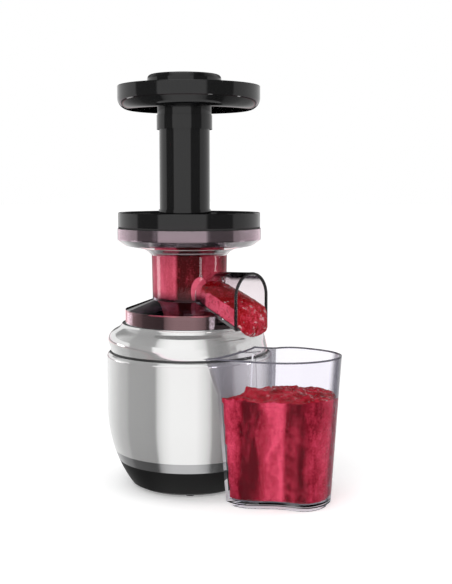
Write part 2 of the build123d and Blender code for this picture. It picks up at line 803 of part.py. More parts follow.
with BuildPart() as switch_rocker:
    lip = rocker_swing_radius * rocker_lip_share
    crown = sqrt(rocker_swing_radius**2 - lip**2)
    with BuildSketch(rocker_plane) as rocker_profile:
        with BuildLine():
            Polyline(
                (-rocker_depth, -lip * rocker_waist_share),
                (crown, -lip),
                (crown - rocker_dip, 0.0),
                (crown, lip),
                (-rocker_depth, lip * rocker_waist_share),
                close=True,
            )
        make_face()
    extrude(rocker_profile.sketch, amount=rocker_width / 2.0, both=True)
    with BuildSketch(rocker_plane) as rocker_pins:
        Circle(rocker_pin_radius)
    extrude(rocker_pins.sketch, amount=rocker_width / 2.0 + rocker_pin_reach, both=True)
switch_rocker.part.label = "switch_rocker"
export_step(switch_rocker.part, "parts/switch_rocker.step")

with BuildPart() as cord_gland:
    with BuildSketch(gland_plane.offset(gland_wall - gland_depth)) as gland_body:
        Circle(gland_radius)
    extrude(gland_body.sketch, amount=gland_depth + gland_stand_off)
    with BuildSketch(gland_plane.offset(gland_wall + gland_stand_off)) as gland_flange:
        Circle(gland_flange_radius)
    extrude(gland_flange.sketch, amount=gland_flange_height)
    fillet(cord_gland.edges().group_by(Axis.Y)[-1], radius=edge_rounding)
    with BuildSketch(gland_plane) as gland_bore:
        Circle(gland_bore_radius)
    extrude(gland_bore.sketch, amount=body_radius * 2.0, mode=Mode.SUBTRACT)
cord_gland.part.label = "cord_gland"
export_step(cord_gland.part, "parts/cord_gland.step")

# ------------------------------------------------------------------ juicing bowl
spout_half = spout_width / 2.0
spout_slope = spout_floor_drop / (spout_reach - spout_floor_start)
spout_mouth_z = z_skirt + part_gap
spout_ridge = spout_mouth_z + spout_ridge_height


def spout_floor(reach):
    """Height of the spout's underside at a distance from the main axis."""
    return spout_mouth_z + (spout_reach - reach) * spout_slope


def spout_form(inset, start, end):
    """The spout's arch along -Y, trimmed to its sloping floor and moved inwards by inset."""
    lift = inset * sqrt(1.0 + spout_slope**2)
    tilt = spout_ridge_rise / (spout_reach - spout_floor_start)
    ridge_start = spout_ridge - inset - (spout_reach - start) * tilt
    ridge_end = spout_ridge - inset + (end - spout_reach) * tilt
    half = spout_half - inset
    with BuildPart() as form:
        with BuildSketch(Plane.YZ) as side:
            with BuildLine():
                Polyline(
                    (-start, spout_floor(start) + lift),
                    (-end, spout_floor(end) + lift),
                    (-end, ridge_end),
                    (-start, ridge_start),
                    close=True,
                )
            make_face()
        extrude(side.sketch, amount=half, both=True)
        arch_plane = Plane(origin=(0, -start, ridge_start), x_dir=(1, 0, 0), z_dir=(0, -1, tilt))
        with BuildSketch(arch_plane) as arch:
            with Locations((0.0, -half)):
                Circle(half)
            with Locations((0.0, -half - cup_radius / 2.0)):
                Rectangle(2.0 * half, cup_radius)
        extrude(arch.sketch, amount=(end - start) * 1.2, both=True, mode=Mode.INTERSECT)
    return form.part


pulp_direction = Vector(
    cos(radians(pulp_azimuth)) * cos(radians(pulp_slope)),
    sin(radians(pulp_azimuth)) * cos(radians(pulp_slope)),
    -sin(radians(pulp_slope)),
)
pulp_origin = Vector(
    drum_inner_radius * cos(radians(pulp_azimuth)),
    drum_inner_radius * sin(radians(pulp_azimuth)),
    z_bowl_floor + pulp_start_height,
)
pulp_length = (pulp_reach - drum_inner_radius) / cos(radians(pulp_slope))
pulp_plane = Plane(origin=pulp_origin, z_dir=pulp_direction)

with BuildPart() as bowl:
    turned([
        (skirt_radius, z_skirt),
        (skirt_radius, z_roof),
        (drum_base_radius, z_bowl_floor),
        (drum_top_radius, z_throat),
        (flare_bend_radius, z_flare_bend),
        (throat_radius, z_shelf),
        (shelf_radius, z_cup_corner),
        (cup_radius, z_cup),
        (cup_radius, z_rim),
        (bowl_inner_radius, z_rim),
        (bowl_inner_radius, z_cup + bowl_wall * corner_wall_share),
        (shelf_radius - bowl_wall * shelf_wall_share, z_cup_corner + bowl_wall),
        (throat_radius - bowl_wall * bend_wall_share, z_shelf + bowl_wall),
        (flare_bend_radius - bowl_wall * flare_wall_across, z_flare_bend + bowl_wall * slope_wall_share),
        (drum_top_radius - bowl_wall, z_throat + bowl_wall * bend_wall_share),
        (drum_inner_radius, z_bowl_floor),
        (bush_radius, z_bowl_floor),
        (bush_radius, z_bowl_floor - bush_height - bowl_seal_height),
        (bush_radius + bush_wall, z_bowl_floor - bush_height - bowl_seal_height),
        (bush_radius + bush_wall, z_bowl_floor - bowl_wall * 1.1),
        (drum_inner_radius, z_bowl_floor - bowl_wall * 1.1),
        (inner_skirt, z_roof - bowl_wall * slope_wall_share),
        (inner_skirt, z_skirt),
    ])
    add(spout_form(0.0, drum_inner_radius - bowl_wall * 2.0, spout_reach))
    with BuildSketch(pulp_plane) as pulp_outside:
        Circle(pulp_radius)
    extrude(pulp_outside.sketch, amount=pulp_length)
    # the drum's inside, clear of what the spout and the outlet brought in
    turned([
        (0.0, z_bowl_floor),
        (drum_inner_radius, z_bowl_floor),
        (drum_top_radius - bowl_wall, z_throat),
        (0.0, z_throat),
    ], mode=Mode.SUBTRACT)
    spout_inside = spout_form(bowl_wall, drum_inner_radius - bowl_wall * 3.0, spout_reach + bowl_wall)
    add(spout_inside, mode=Mode.SUBTRACT)
    with BuildSketch(pulp_plane.offset(-bowl_wall * 2.0)) as pulp_inside:
        Circle(pulp_radius - pulp_wall)
    extrude(pulp_inside.sketch, amount=pulp_length + bowl_wall * 4.0, mode=Mode.SUBTRACT)
    # hooks that the lid's lugs turn under
    for angle in lug_angles:
        with BuildSketch(Plane.XY.offset(z_rim - hook_drop - hook_height)) as hook:
            with PolarLocations(bowl_inner_radius - hook_reach + bowl_wall, 1, start_angle=angle):
                Rectangle(2.0 * bowl_wall, lug_span * 1.2)
            Circle(cup_radius - bowl_wall / 2.0, mode=Mode.INTERSECT)
        extrude(hook.sketch, amount=hook_height)
bowl.part.label = "bowl"
export_step(bowl.part, "parts/bowl.step")

with BuildPart() as bowl_bush:
    disc(z_bowl_floor - bush_height, z_bowl_floor, bush_radius, journal_radius + running_clearance)
bowl_bush.part.label = "bowl_bush"
export_step(bowl_bush.part, "parts/bowl_bush.step")

with BuildPart() as bowl_seal:
    disc(z_bowl_floor - bush_height - bowl_seal_height, z_bowl_floor - bush_height, bush_radius,
         journal_radius + part_gap)
bowl_seal.part.label = "bowl_seal"
export_step(bowl_seal.part, "parts/bowl_seal.step")

with BuildPart() as bowl_magnet:
    disc(z_deck + plate_height + 2.0 * part_gap, z_roof - bowl_wall * 1.2, magnet_radius,
         place=(inner_skirt - magnet_radius, 0.0))
bowl_magnet.part.label = "bowl_magnet"
export_step(bowl_magnet.part, "parts/bowl_magnet.step")

with BuildPart() as bowl_sensor:
    with BuildSketch(Plane.XY.offset(z_deck - housing_wall - sensor_height)):
        with Locations((inner_skirt - magnet_radius - bush_wall, 0.0)):
            Rectangle(sensor_width, sensor_length)
    extrude(amount=sensor_height)
bowl_sensor.part.label = "bowl_sensor"
export_step(bowl_sensor.part, "parts/bowl_sensor.step")

with BuildPart() as pulp_packing:
    with BuildSketch(pulp_plane.offset(pulp_length * packing_place)) as packing:
        Circle(pulp_radius - pulp_wall)
        Circle(pulp_radius - pulp_wall - packing_wall, mode=Mode.SUBTRACT)
    extrude(packing.sketch, amount=packing_length)
pulp_packing.part.label = "pulp_packing"
export_step(pulp_packing.part, "parts/pulp_packing.step")

# ------------------------------------------------------------------ strainer
z_strainer_top = z_throat + strainer_rise
mesh_radius = strainer_radius - strainer_wall / 2.0
with BuildPart() as strainer_frame:
    disc(z_bowl_floor, z_bowl_floor + strainer_ring_height, strainer_radius,
         strainer_radius - strainer_wall)
    disc(z_strainer_top - strainer_ring_height, z_strainer_top, strainer_radius,
         strainer_radius - strainer_wall)
    disc(z_strainer_top - strainer_wall, z_strainer_top, drum_top_radius - 2.0 * part_gap,
         strainer_radius - strainer_wall)
    with BuildSketch(Plane.XY.offset(z_bowl_floor)) as ribs:
        with PolarLocations(strainer_radius - strainer_wall / 2.0, strainer_rib_count, start_angle=22.5):
            Rectangle(strainer_wall, strainer_rib_width)
    extrude(ribs.sketch, amount=z_strainer_top - z_bowl_floor)
    disc(z_bowl_floor + strainer_ring_height, z_strainer_top - strainer_ring_height,
         mesh_radius + mesh_thickness / 2.0, mesh_radius - mesh_thickness / 2.0, mode=Mode.SUBTRACT)
strainer_frame.part.label = "strainer_frame"
export_step(strainer_frame.part, "parts/strainer_frame.step")

with BuildPart() as strainer_mesh:
    disc(z_bowl_floor + strainer_ring_height, z_strainer_top - strainer_ring_height,
         mesh_radius + mesh_thickness / 2.0, mesh_radius - mesh_thickness / 2.0)
strainer_mesh.part.label = "strainer_mesh"
export_step(strainer_mesh.part, "parts/strainer_mesh.step")

# ------------------------------------------------------------------ auger
z_auger = z_bowl_floor + socket_collar
z_auger_top = z_auger + auger_height
hex_radius = drive_hex_across_flats / 2.0 + part_gap
z_socket_top = z_auger + socket_depth

with BuildPart() as auger:
    turned([
        (0.0, z_auger),
        (auger_core_bottom_radius, z_auger),
        (auger_core_bottom_radius, z_auger + edge_rounding),
        (auger_core_top_radius, z_auger_top),
        (auger_pin_radius, z_auger_top),
        (auger_pin_radius, z_auger_top + auger_pin_height),
        (0.0, z_auger_top + auger_pin_height),
    ])
    flight_mid = (auger_radius + auger_core_top_radius) / 2.0
    flight_low = z_auger + auger_flight_thickness
    flight_turn_height = auger_height - auger_flight_thickness * 2.5
    with BuildLine(Plane.XY.offset(flight_low)) as flight_path:
        Helix(pitch=auger_pitch, height=flight_turn_height, radius=flight_mid)
    flight_root = auger_core_top_radius - bowl_wall
    section_plane = Plane(origin=(0, 0, flight_low), x_dir=(1, 0, 0), z_dir=(0, -1, 0))
    with BuildSketch(section_plane) as flight_section:
        with BuildLine():
            Polyline(
                (flight_root, -auger_flight_thickness / 2.0),
                (auger_radius, -auger_flight_thickness / 4.0),
                (auger_radius, auger_flight_thickness / 4.0),
                (flight_root, auger_flight_thickness / 2.0),
                close=True,
            )
        make_face()
    sweep(flight_section.sketch, path=flight_path.line, is_frenet=True)
    disc(z_auger, z_socket_top, journal_radius, mode=Mode.SUBTRACT)
auger.part.label = "auger"
export_step(auger.part, "parts/auger.step")

with BuildPart() as auger_socket:
    disc(z_bowl_floor - bush_height, z_socket_top, journal_radius)
    disc(z_bowl_floor + part_gap, z_auger, journal_radius + socket_collar)
    with BuildSketch(Plane.XY.offset(z_bowl_floor - bush_height)) as hex_bore:
        RegularPolygon(hex_radius, 6, major_radius=False)
    extrude(hex_bore.sketch, amount=bush_height + socket_depth, mode=Mode.SUBTRACT)
auger_socket.part.label = "auger_socket"
export_step(auger_socket.part, "parts/auger_socket.step")

# ------------------------------------------------------------------ lid and feed tube
with BuildPart() as lid:
    turned([
        (lid_radius, z_lid),
        (lid_radius, z_lid_top),
        (lid_radius - lid_wall, z_lid_top),
        (lid_radius - lid_wall, z_lid_deck),
        (0.0, z_lid_deck),
        (0.0, z_lid_under),
        (lid_skirt_radius - lid_wall, z_lid_under),
        (lid_skirt_radius - lid_wall, z_rim - lid_skirt_depth),
        (lid_skirt_radius, z_rim - lid_skirt_depth),
        (lid_skirt_radius, z_lid),
    ])
    rim_edges = lid.edges().filter_by(GeomType.CIRCLE).group_by(Axis.Z)[-1]
    fillet(rim_edges, radius=lid_wall * rounding_share)
    disc(z_auger_top + boss_gap, z_lid_under, boss_radius)
    disc(z_auger_top + boss_gap, z_auger_top + auger_pin_height + part_gap,
         auger_pin_radius + running_clearance, mode=Mode.SUBTRACT)
    disc(z_lid_under, z_lid_deck, tube_bore_radius, place=tube_place, mode=Mode.SUBTRACT)
    lug_top = z_rim - hook_drop - hook_height - part_gap
    lug_outer = bowl_inner_radius - part_gap
    with BuildSketch(Plane.XY.offset(lug_top - lug_height)) as lugs:
        for angle in lug_angles:
            with PolarLocations(lid_skirt_radius, 1, start_angle=angle):
                Rectangle(2.0 * lid_wall, lug_span)
        Circle(lug_outer, mode=Mode.INTERSECT)
        Circle(lid_skirt_radius - lid_wall * seal_seat_share, mode=Mode.SUBTRACT)
    extrude(lugs.sketch, amount=lug_height)
lid.part.label = "lid"
export_step(lid.part, "parts/lid.step")

with BuildPart() as lid_seal:
    disc(z_rim + part_gap, z_lid, lid_radius, lid_skirt_radius)
lid_seal.part.label = "lid_seal"
export_step(lid_seal.part, "parts/lid_seal.step")

with BuildPart() as feed_tube:
    socket_inner = tube_socket_radius - lid_wall
    turned([
        (tube_bore_radius, z_lid_deck),
        (tube_foot_radius, z_lid_deck),
        (tube_foot_radius, z_lid_deck + tube_foot_height),
        (tube_radius, z_lid_deck + tube_foot_height),
        (tube_radius, z_socket),
        (tube_socket_radius, z_socket),
        (tube_socket_radius, z_tube_top),
        (socket_inner, z_tube_top),
        (socket_inner, z_socket + lid_wall),
        (tube_bore_radius, z_socket + lid_wall),
    ], place=tube_place)
feed_tube.part.label = "feed_tube"
export_step(feed_tube.part, "parts/feed_tube.step")

# ------------------------------------------------------------------ tray and pusher
with BuildPart() as tray:
    turned([
        (0.0, z_tray_under),
        (tray_radius, z_tray_under),
        (tray_radius, z_tray_rim),
        (tray_radius - tray_wall, z_tray_rim),
        (tray_radius - tray_wall, z_tray_floor),
        (0.0, z_tray_floor),
    ])
    dish_edges = tray.edges().filter_by(GeomType.CIRCLE).group_by(Axis.Z)
    fillet(dish_edges[0], radius=tray_corner_radius)
    inner_corner = tray.edges().filter_by(GeomType.CIRCLE).filter_by(
        lambda e: abs(e.center().Z - z_tray_floor) < part_gap and e.radius > tray_radius / 2.0)
    fillet(inner_corner, radius=tray_corner_radius - tray_wall)
    fillet(tray.edges().filter_by(GeomType.CIRCLE).group_by(Axis.Z)[-1], radius=tray_wall * rounding_share)
    spigot_radius = socket_inner - part_gap
    turned([
        (tube_bore_radius, z_tray_under),
        (tray_neck_radius, z_tray_under),
        (tray_neck_radius, z_tube_top + part_gap),
        (spigot_radius, z_tube_top + part_gap),
        (spigot_radius, z_socket + lid_wall + part_gap),
        (tube_bore_radius, z_socket + lid_wall + part_gap),
    ], place=tube_place)
    disc(z_tray_under, z_tray_floor, tube_bore_radius, place=tube_place, mode=Mode.SUBTRACT)
tray.part.label = "tray"
export_step(tray.part, "parts/tray.step")

stem_radius = tube_bore_radius - stem_gap
z_tip = z_lid_deck + tip_clearance
with BuildPart() as pusher_cap:
    grip_low = z_cap_top - cap_grip_depth
    turned([
        (0.0, z_cap),
        (cap_neck_radius, z_cap),
        (cap_neck_radius, z_cap + cap_edge_radius),
        (cap_neck_radius - cap_taper, grip_low - cap_shoulder),
        (cap_radius - cap_taper, grip_low),
        (cap_radius, grip_low + cap_taper),
        (cap_radius, z_cap_top),
        (0.0, z_cap_top),
    ], place=tube_place)
    fillet(pusher_cap.edges().group_by(Axis.Z)[-1], radius=cap_edge_radius)
pusher_cap.part.label = "pusher_cap"
export_step(pusher_cap.part, "parts/pusher_cap.step")

with BuildPart() as pusher_stem:
    disc(z_tip + tip_height, z_cap, stem_radius, place=tube_place)
pusher_stem.part.label = "pusher_stem"
export_step(pusher_stem.part, "parts/pusher_stem.step")

with BuildPart() as pusher_tip:
    disc(z_tip, z_tip + tip_height, stem_radius, place=tube_place)
    chamfer(pusher_tip.edges().group_by(Axis.Z)[0], length=cap_taper)
pusher_tip.part.label = "pusher_tip"
export_step(pusher_tip.part, "parts/pusher_tip.step")

# ------------------------------------------------------------------ puree in the bowl
with BuildPart() as puree_in_bowl:
    z_drum_puree = z_strainer_top - strainer_wall - part_gap
    turned([
        (strainer_radius + part_gap, z_bowl_floor + part_gap),
        (drum_inner_radius - part_gap, z_bowl_floor + part_gap),
        (drum_top_radius - bowl_wall - part_gap, z_throat + bowl_wall * bend_wall_share),
        (drum_top_radius - bowl_wall * corner_wall_share, z_drum_puree),
        (strainer_radius + part_gap, z_drum_puree),
    ])
puree_in_bowl.part.label = "puree_in_bowl"
export_step(puree_in_bowl.part, "parts/puree_in_bowl.step")

strand_gap = bowl_wall + part_gap
strand_start = drum_inner_radius + part_gap
strand_lift = strand_gap * sqrt(1.0 + spout_slope**2)
z_strand_lip = spout_floor(spout_reach) + strand_lift
z_strand_mouth = spout_mouth_z + strand_mouth_height

tongue_back = -spout_reach - part_gap
z_tongue_low = spout_mouth_z - tongue_drop


def tongue_form():
    """The puree that hangs over the spout's lip, rounded from the side, the front and above."""
    middle = (z_strand_mouth + z_tongue_low) / 2.0
    with BuildPart() as form:
        with BuildSketch(Plane.YZ) as side:
            with BuildLine():
                Polyline(
                    (-spout_reach, z_strand_mouth),
                    (-spout_reach, z_strand_lip),
                    (tongue_back, spout_mouth_z + bowl_wall / 2.0),
                    (tongue_back, z_tongue_low),
                )
                Spline(
                    (tongue_back, z_tongue_low),
                    (-spout_reach - tongue_reach * tongue_belly_share, z_tongue_low),
                    (-spout_reach - tongue_reach, spout_mouth_z + bowl_wall),
                    (-spout_reach - tongue_reach * tongue_front_share, middle + tongue_drop),
                    (-spout_reach, z_strand_mouth),
                )
            make_face()
        extrude(side.sketch, amount=spout_half, both=True)
        with BuildSketch(Plane.XY.offset(z_tongue_low - part_gap)) as plan:
            with Locations((0.0, -spout_reach)):
                Ellipse(spout_half - strand_gap, tongue_reach + part_gap)
        extrude(plan.sketch, amount=spout_ridge_height, mode=Mode.INTERSECT)
        with BuildSketch(Plane.XZ.offset(spout_reach - tongue_reach)) as front:
            with Locations((0.0, middle)):
                Ellipse(spout_half - strand_gap, (z_strand_mouth - z_tongue_low) / 2.0 + part_gap)
        extrude(front.sketch, amount=3.0 * tongue_reach, mode=Mode.INTERSECT)
    return form.part


with BuildPart() as puree_strand:
    strand_run = spout_reach - strand_start
    crown_plane = Plane(
        origin=(0.0, -spout_reach, z_strand_mouth),
        x_dir=(1, 0, 0),
        z_dir=(0.0, -strand_run, -strand_rise),
    )
    add(spout_form(strand_gap, strand_start, spout_reach))
    with BuildSketch(crown_plane) as crown:
        with BuildLine():
            ThreePointArc((-spout_half, -strand_crown), (0.0, 0.0), (spout_half, -strand_crown))
            Polyline(
                (spout_half, -strand_crown),
                (spout_half, -spout_ridge_height),
                (-spout_half, -spout_ridge_height),
                (-spout_half, -strand_crown),
            )
        make_face()
    extrude(crown.sketch, amount=2.0 * strand_run, both=True, mode=Mode.INTERSECT)
    add(tongue_form())
puree_strand.part.label = "puree_strand"
export_step(puree_strand.part, "parts/puree_strand.step")

# ------------------------------------------------------------------ jug
# plan outline from the right end of the hollow side, round the front, to the left end, as
# (across, in front of the hollow)
jug_foot_points = [(44.0, 4.5), (53.0, 19.5), (54.0, 39.5), (42.0, 61.5), (22.0, 70.5), (0.0, 64.0),
                   (-10.0, 43.0), (-29.0, 18.5)]
jug_rim_points = [(60.5, 1.5), (65.0, 22.5), (62.5, 49.5), (45.0, 70.5), (14.1, 75.1), (-9.2, 65.9),
                  (-26.4, 48.8), (-42.0, 10.5)]
jug_foot_angle = 22.0
jug_rim_angle = 29.8
jug_lip_turn = 0.45
jug_corner_share = 1.3


def jug_outline(share, lip=0.0, inset=0.0):
    """The jug's plan outline at a share of its height, drawn in the sketch being built."""
    angle = radians(jug_foot_angle + (jug_rim_angle - jug_foot_angle) * share)
    hollow = jug_hug_radius + inset
    chain = [(jug_hug_radius * sin(angle), -jug_hug_radius * cos(angle))]
    for low, high in zip(jug_foot_points, jug_rim_points):
        front_reach = low[1] + (high[1] - low[1]) * share
        chain.append((low[0] + (high[0] - low[0]) * share, -jug_hug_radius - front_reach))
    chain.append((-chain[0][0] - lip, chain[0][1] + lip * jug_lip_turn))
    front = []
    for before, point, after in zip(chain, chain[1:], chain[2:]):
        run = (after[0] - before[0], after[1] - before[1])
        step = inset / sqrt(run[0] ** 2 + run[1] ** 2)
        front.append((point[0] + run[1] * step, point[1] - run[0] * step))
    angle -= inset * jug_corner_share / jug_hug_radius
    right = (hollow * sin(angle), -hollow * cos(angle))
    left = (-right[0] - lip, right[1] + lip * jug_lip_turn)
    with BuildLine() as outline:
        ThreePointArc(left, (0.0, -hollow), right)
        Spline(right, *front, left)
    make_face(outline.edges())


z_jug = z_floor_level
z_jug_body = z_jug + jug_foot_height
z_jug_rim = z_jug + jug_height
z_jug_lip = z_jug_rim - jug_lip_height


def jug_form(inset, low, high, mode=Mode.ADD):
    """The jug's tapering form, moved inwards by inset, between two heights."""
    faces = []
    for height in sorted({low, min(max(z_jug_lip, low), high), high}):
        share = (height - z_jug_body) / (z_jug_rim - z_jug_body)
        lip = max(height - z_jug_lip, 0.0) / jug_lip_height * jug_lip_reach
        with BuildSketch(Plane.XY.offset(height)) as level:
            jug_outline(share, lip, inset)
        faces.append(level.sketch.face())
    loft(sections=faces, ruled=True, mode=mode)


with BuildPart() as jug:
    jug_form(0.0, z_jug_body, z_jug_rim)
    jug_form(jug_wall, z_jug_body + jug_floor, z_jug_rim, mode=Mode.SUBTRACT)
    with BuildSketch(Plane.XY.offset(z_jug)) as foot_ring:
        jug_outline(0.0, inset=jug_foot_inset)
    extrude(foot_ring.sketch, amount=jug_foot_height)
    with BuildSketch(Plane.XY.offset(z_jug)) as foot_hollow:
        jug_outline(0.0, inset=jug_foot_inset + jug_wall)
    extrude(foot_hollow.sketch, amount=jug_foot_height, mode=Mode.SUBTRACT)
    # the hollow side's rim rises to a crest under the spout, above an outside rib
    crest_half = jug_hug_radius * sin(radians(jug_rim_angle))
    with BuildSketch(Plane.XZ) as crest:
        Polygon((-crest_half, z_jug_rim), (0.0, z_jug_rim + jug_crest_height), (crest_half, z_jug_rim),
                align=None)
    extrude(crest.sketch, amount=jug_hug_radius + jug_wall)
    disc(z_jug_rim, z_jug_rim + jug_crest_height, jug_hug_radius, mode=Mode.SUBTRACT)
    disc(z_jug_rim, z_jug_rim + jug_crest_height, 2.0 * jug_hug_radius, jug_hug_radius + jug_wall,
         mode=Mode.SUBTRACT)
    with BuildSketch(Plane.XZ.offset(jug_hug_radius - jug_rib_depth)) as rib:
        Polygon((-jug_rib_foot_width / 2.0, z_jug_body), (jug_rib_foot_width / 2.0, z_jug_body),
                (jug_rib_top_width / 2.0, z_jug_rim), (-jug_rib_top_width / 2.0, z_jug_rim), align=None)
    extrude(rib.sketch, amount=jug_rib_depth + jug_wall / 2.0)
jug.part.label = "jug"
export_step(jug.part, "parts/jug.step")

with BuildPart() as puree_in_jug:
    z_puree = z_jug_body + jug_floor + part_gap
    z_puree_top = z_puree + puree_depth
    jug_form(jug_wall + part_gap, z_puree, z_puree_top)
    heap_share = (z_puree_top - z_jug_body) / (z_jug_rim - z_jug_body)
    with BuildSketch(Plane.XY.offset(z_puree_top)) as heap_foot:
        jug_outline(heap_share, inset=jug_wall + part_gap + puree_heap * heap_inset_share)
    with BuildSketch(Plane.XY.offset(z_puree_top + puree_heap)) as heap_top:
        jug_outline(heap_share, inset=jug_wall + part_gap + puree_heap * 2.0)
    loft(sections=[heap_foot.sketch.face(), heap_top.sketch.face()], ruled=True)
puree_in_jug.part.label = "puree_in_jug"
export_step(puree_in_jug.part, "parts/puree_in_jug.step")
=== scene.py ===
"""The looks of a cold press juicer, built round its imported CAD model.

Metres, +Z up, in the CAD model's own frame: the main axis is the Z axis, the spout points
along -Y and the rocker switch faces +Y. The jug stands in front of the spout.
"""

import math

import bmesh
import bpy
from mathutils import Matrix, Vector, noise
from mathutils.bvhtree import BVHTree
from mathutils.geometry import intersect_point_line


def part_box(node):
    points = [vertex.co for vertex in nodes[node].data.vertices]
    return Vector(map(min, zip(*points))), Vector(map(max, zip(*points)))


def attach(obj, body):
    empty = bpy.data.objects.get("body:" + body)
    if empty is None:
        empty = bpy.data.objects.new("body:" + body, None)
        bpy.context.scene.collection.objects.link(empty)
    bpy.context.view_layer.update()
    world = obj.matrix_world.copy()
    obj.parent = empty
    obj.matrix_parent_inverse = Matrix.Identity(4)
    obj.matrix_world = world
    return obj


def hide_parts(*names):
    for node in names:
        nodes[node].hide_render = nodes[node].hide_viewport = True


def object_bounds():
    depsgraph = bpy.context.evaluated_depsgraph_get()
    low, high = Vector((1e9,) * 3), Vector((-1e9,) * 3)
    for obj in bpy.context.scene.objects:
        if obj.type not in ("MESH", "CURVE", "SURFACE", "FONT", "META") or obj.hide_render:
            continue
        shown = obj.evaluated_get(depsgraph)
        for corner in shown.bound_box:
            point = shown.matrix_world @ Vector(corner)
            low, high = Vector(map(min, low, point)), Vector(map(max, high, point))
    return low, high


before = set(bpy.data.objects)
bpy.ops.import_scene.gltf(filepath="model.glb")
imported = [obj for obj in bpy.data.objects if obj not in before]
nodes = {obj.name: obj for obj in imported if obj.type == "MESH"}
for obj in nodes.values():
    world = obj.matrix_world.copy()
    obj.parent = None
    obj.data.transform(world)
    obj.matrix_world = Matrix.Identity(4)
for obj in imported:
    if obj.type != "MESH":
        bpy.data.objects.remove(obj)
cad_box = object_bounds()
MM = 0.001


# ------------------------------------------------------------------ general helpers
def in_scene(name, data):
    """A new object of the scene, made of that data."""
    made = bpy.data.objects.new(name, data)
    bpy.context.scene.collection.objects.link(made)
    return made


def on_circle(degrees, radius, height):
    """A place at that angle about the main axis."""
    angle = math.radians(degrees)
    return (radius * math.cos(angle), radius * math.sin(angle), height)


def point_along(holder, direction):
    """Turns a camera or a lamp to look along a direction, upright."""
    holder.rotation_mode = "QUATERNION"
    holder.rotation_quaternion = direction.to_track_quat("-Z", "Y")


def clamped(value, low=0.0, high=1.0):
    return min(max(value, low), high)


def grey(level):
    return (level, level, level, 1.0)


# ------------------------------------------------------------------ camera
EYE_DISTANCE = 1.056
EYE_HEIGHT = 0.303
EYE_AZIMUTH = 225.0
EYE_YAW = 2.0
EYE_PITCH = 5.873
LENS = 64.73
SENSOR_WIDTH = 36.0


def place_camera():
    """Looks past the juicer's left front, a little to the right of its axis and downwards."""
    camera = in_scene("camera", bpy.data.cameras.new("camera"))
    bpy.context.scene.camera = camera
    camera.data.lens = LENS
    camera.data.sensor_width = SENSOR_WIDTH
    camera.data.sensor_fit = "AUTO"
    camera.location = on_circle(EYE_AZIMUTH, EYE_DISTANCE, EYE_HEIGHT)
    heading = math.radians(EYE_AZIMUTH - 180.0 - EYE_YAW)
    pitch = math.radians(EYE_PITCH)
    point_along(camera, Vector((
        math.cos(heading) * math.cos(pitch),
        math.sin(heading) * math.cos(pitch),
        -math.sin(pitch),
    )))


# ------------------------------------------------------------------ node helpers
class Tree:
    """Adds and links the nodes of one material, world or node group."""

    def __init__(self, tree):
        self.tree = tree
        tree.nodes.clear()

    def add(self, kind, values=None, **settings):
        """A node of that kind, with its settings and the values of its input sockets."""
        node = self.tree.nodes.new("ShaderNode" + kind)
        for name, value in settings.items():
            setattr(node, name, value)
        for name, value in (values or {}).items():
            self.put(value, node.inputs[name])
        return node

    def put(self, value, socket):
        """Links an output to a socket, or sets the socket's own value."""
        if isinstance(value, bpy.types.NodeSocket):
            self.tree.links.new(value, socket)
        elif isinstance(value, bpy.types.Node):
            self.tree.links.new(value.outputs[0], socket)
        else:
            socket.default_value = value

    def place(self):
        """The place on the surface, in the piece's own coordinates."""
        return self.add("TexCoord").outputs["Object"]

    def math(self, operation, first, second=0.0, clamp=False):
        node = self.add("Math", {0: first, 1: second}, operation=operation, use_clamp=clamp)
        return node.outputs[0]

    def product(self, first, *others):
        for other in others:
            first = self.math("MULTIPLY", first, other)
        return first

    def largest(self, first, *others):
        for other in others:
            first = self.math("MAXIMUM", first, other)
        return first

    def weighted(self, *terms):
        """The sum of some terms, each a value and its weight."""
        total = 0.0
        for value, weight in terms:
            total = self.math("ADD", self.math("MULTIPLY", value, weight), total)
        return total

    def inverse(self, share):
        return self.math("SUBTRACT", 1.0, share)

    def level(self, share, low, high):
        """A number between two numbers."""
        return self.math("ADD", self.math("MULTIPLY", share, high - low), low)

    def swing(self, value, middle, strength):
        """How far a value is from its middle, times a strength."""
        return self.math("MULTIPLY", self.math("SUBTRACT", value, middle), strength)

    def step(self, value, low, high):
        """0 below low, 1 above high and smooth between; the other way round where high is lower."""
        node = self.add(
            "MapRange", {0: value, 1: low, 2: high}, interpolation_type="SMOOTHSTEP", clamp=True
        )
        return node.outputs[0]

    def parts(self, vector):
        """The x, y and z of a vector."""
        return self.add("SeparateXYZ", {0: vector}).outputs

    def vector(self, operation, first, second):
        return self.add("VectorMath", {0: first, 1: second}, operation=operation).outputs[0]

    def dot(self, vector, direction):
        node = self.add("VectorMath", {0: vector, 1: direction}, operation="DOT_PRODUCT")
        return node.outputs["Value"]

    def scaled(self, vector, factor):
        """A vector or a colour times a number."""
        node = self.add("VectorMath", {0: vector, "Scale": factor}, operation="SCALE")
        return node.outputs[0]

    def mix(self, share, low, high):
        """A colour between two colours."""
        node = self.add("Mix", data_type="RGBA")
        self.put(share, node.inputs[0])
        self.put(low, node.inputs[6])
        self.put(high, node.inputs[7])
        return node.outputs[2]

    def ramp(self, value, stops):
        """A colour ramp from a list of (place, colour or grey level)."""
        node = self.add("ValToRGB", {0: value})
        elements = node.color_ramp.elements
        while len(elements) < len(stops):
            elements.new(0.5)
        for element, (place, colour) in zip(elements, stops):
            element.position = place
            element.color = grey(colour) if isinstance(colour, float) else (*colour, 1.0)
        return node.outputs[0]

    def noise(self, vector, size, detail=3.0, distortion=0.0):
        """Noise whose features are about size metres across."""
        node = self.add(
            "TexNoise",
            {"Vector": vector, "Scale": 1.0 / size, "Detail": detail, "Distortion": distortion},
        )
        return node.outputs[0]

    def bump(self, height, distance):
        return self.add("Bump", {"Height": height, "Distance": distance}).outputs[0]


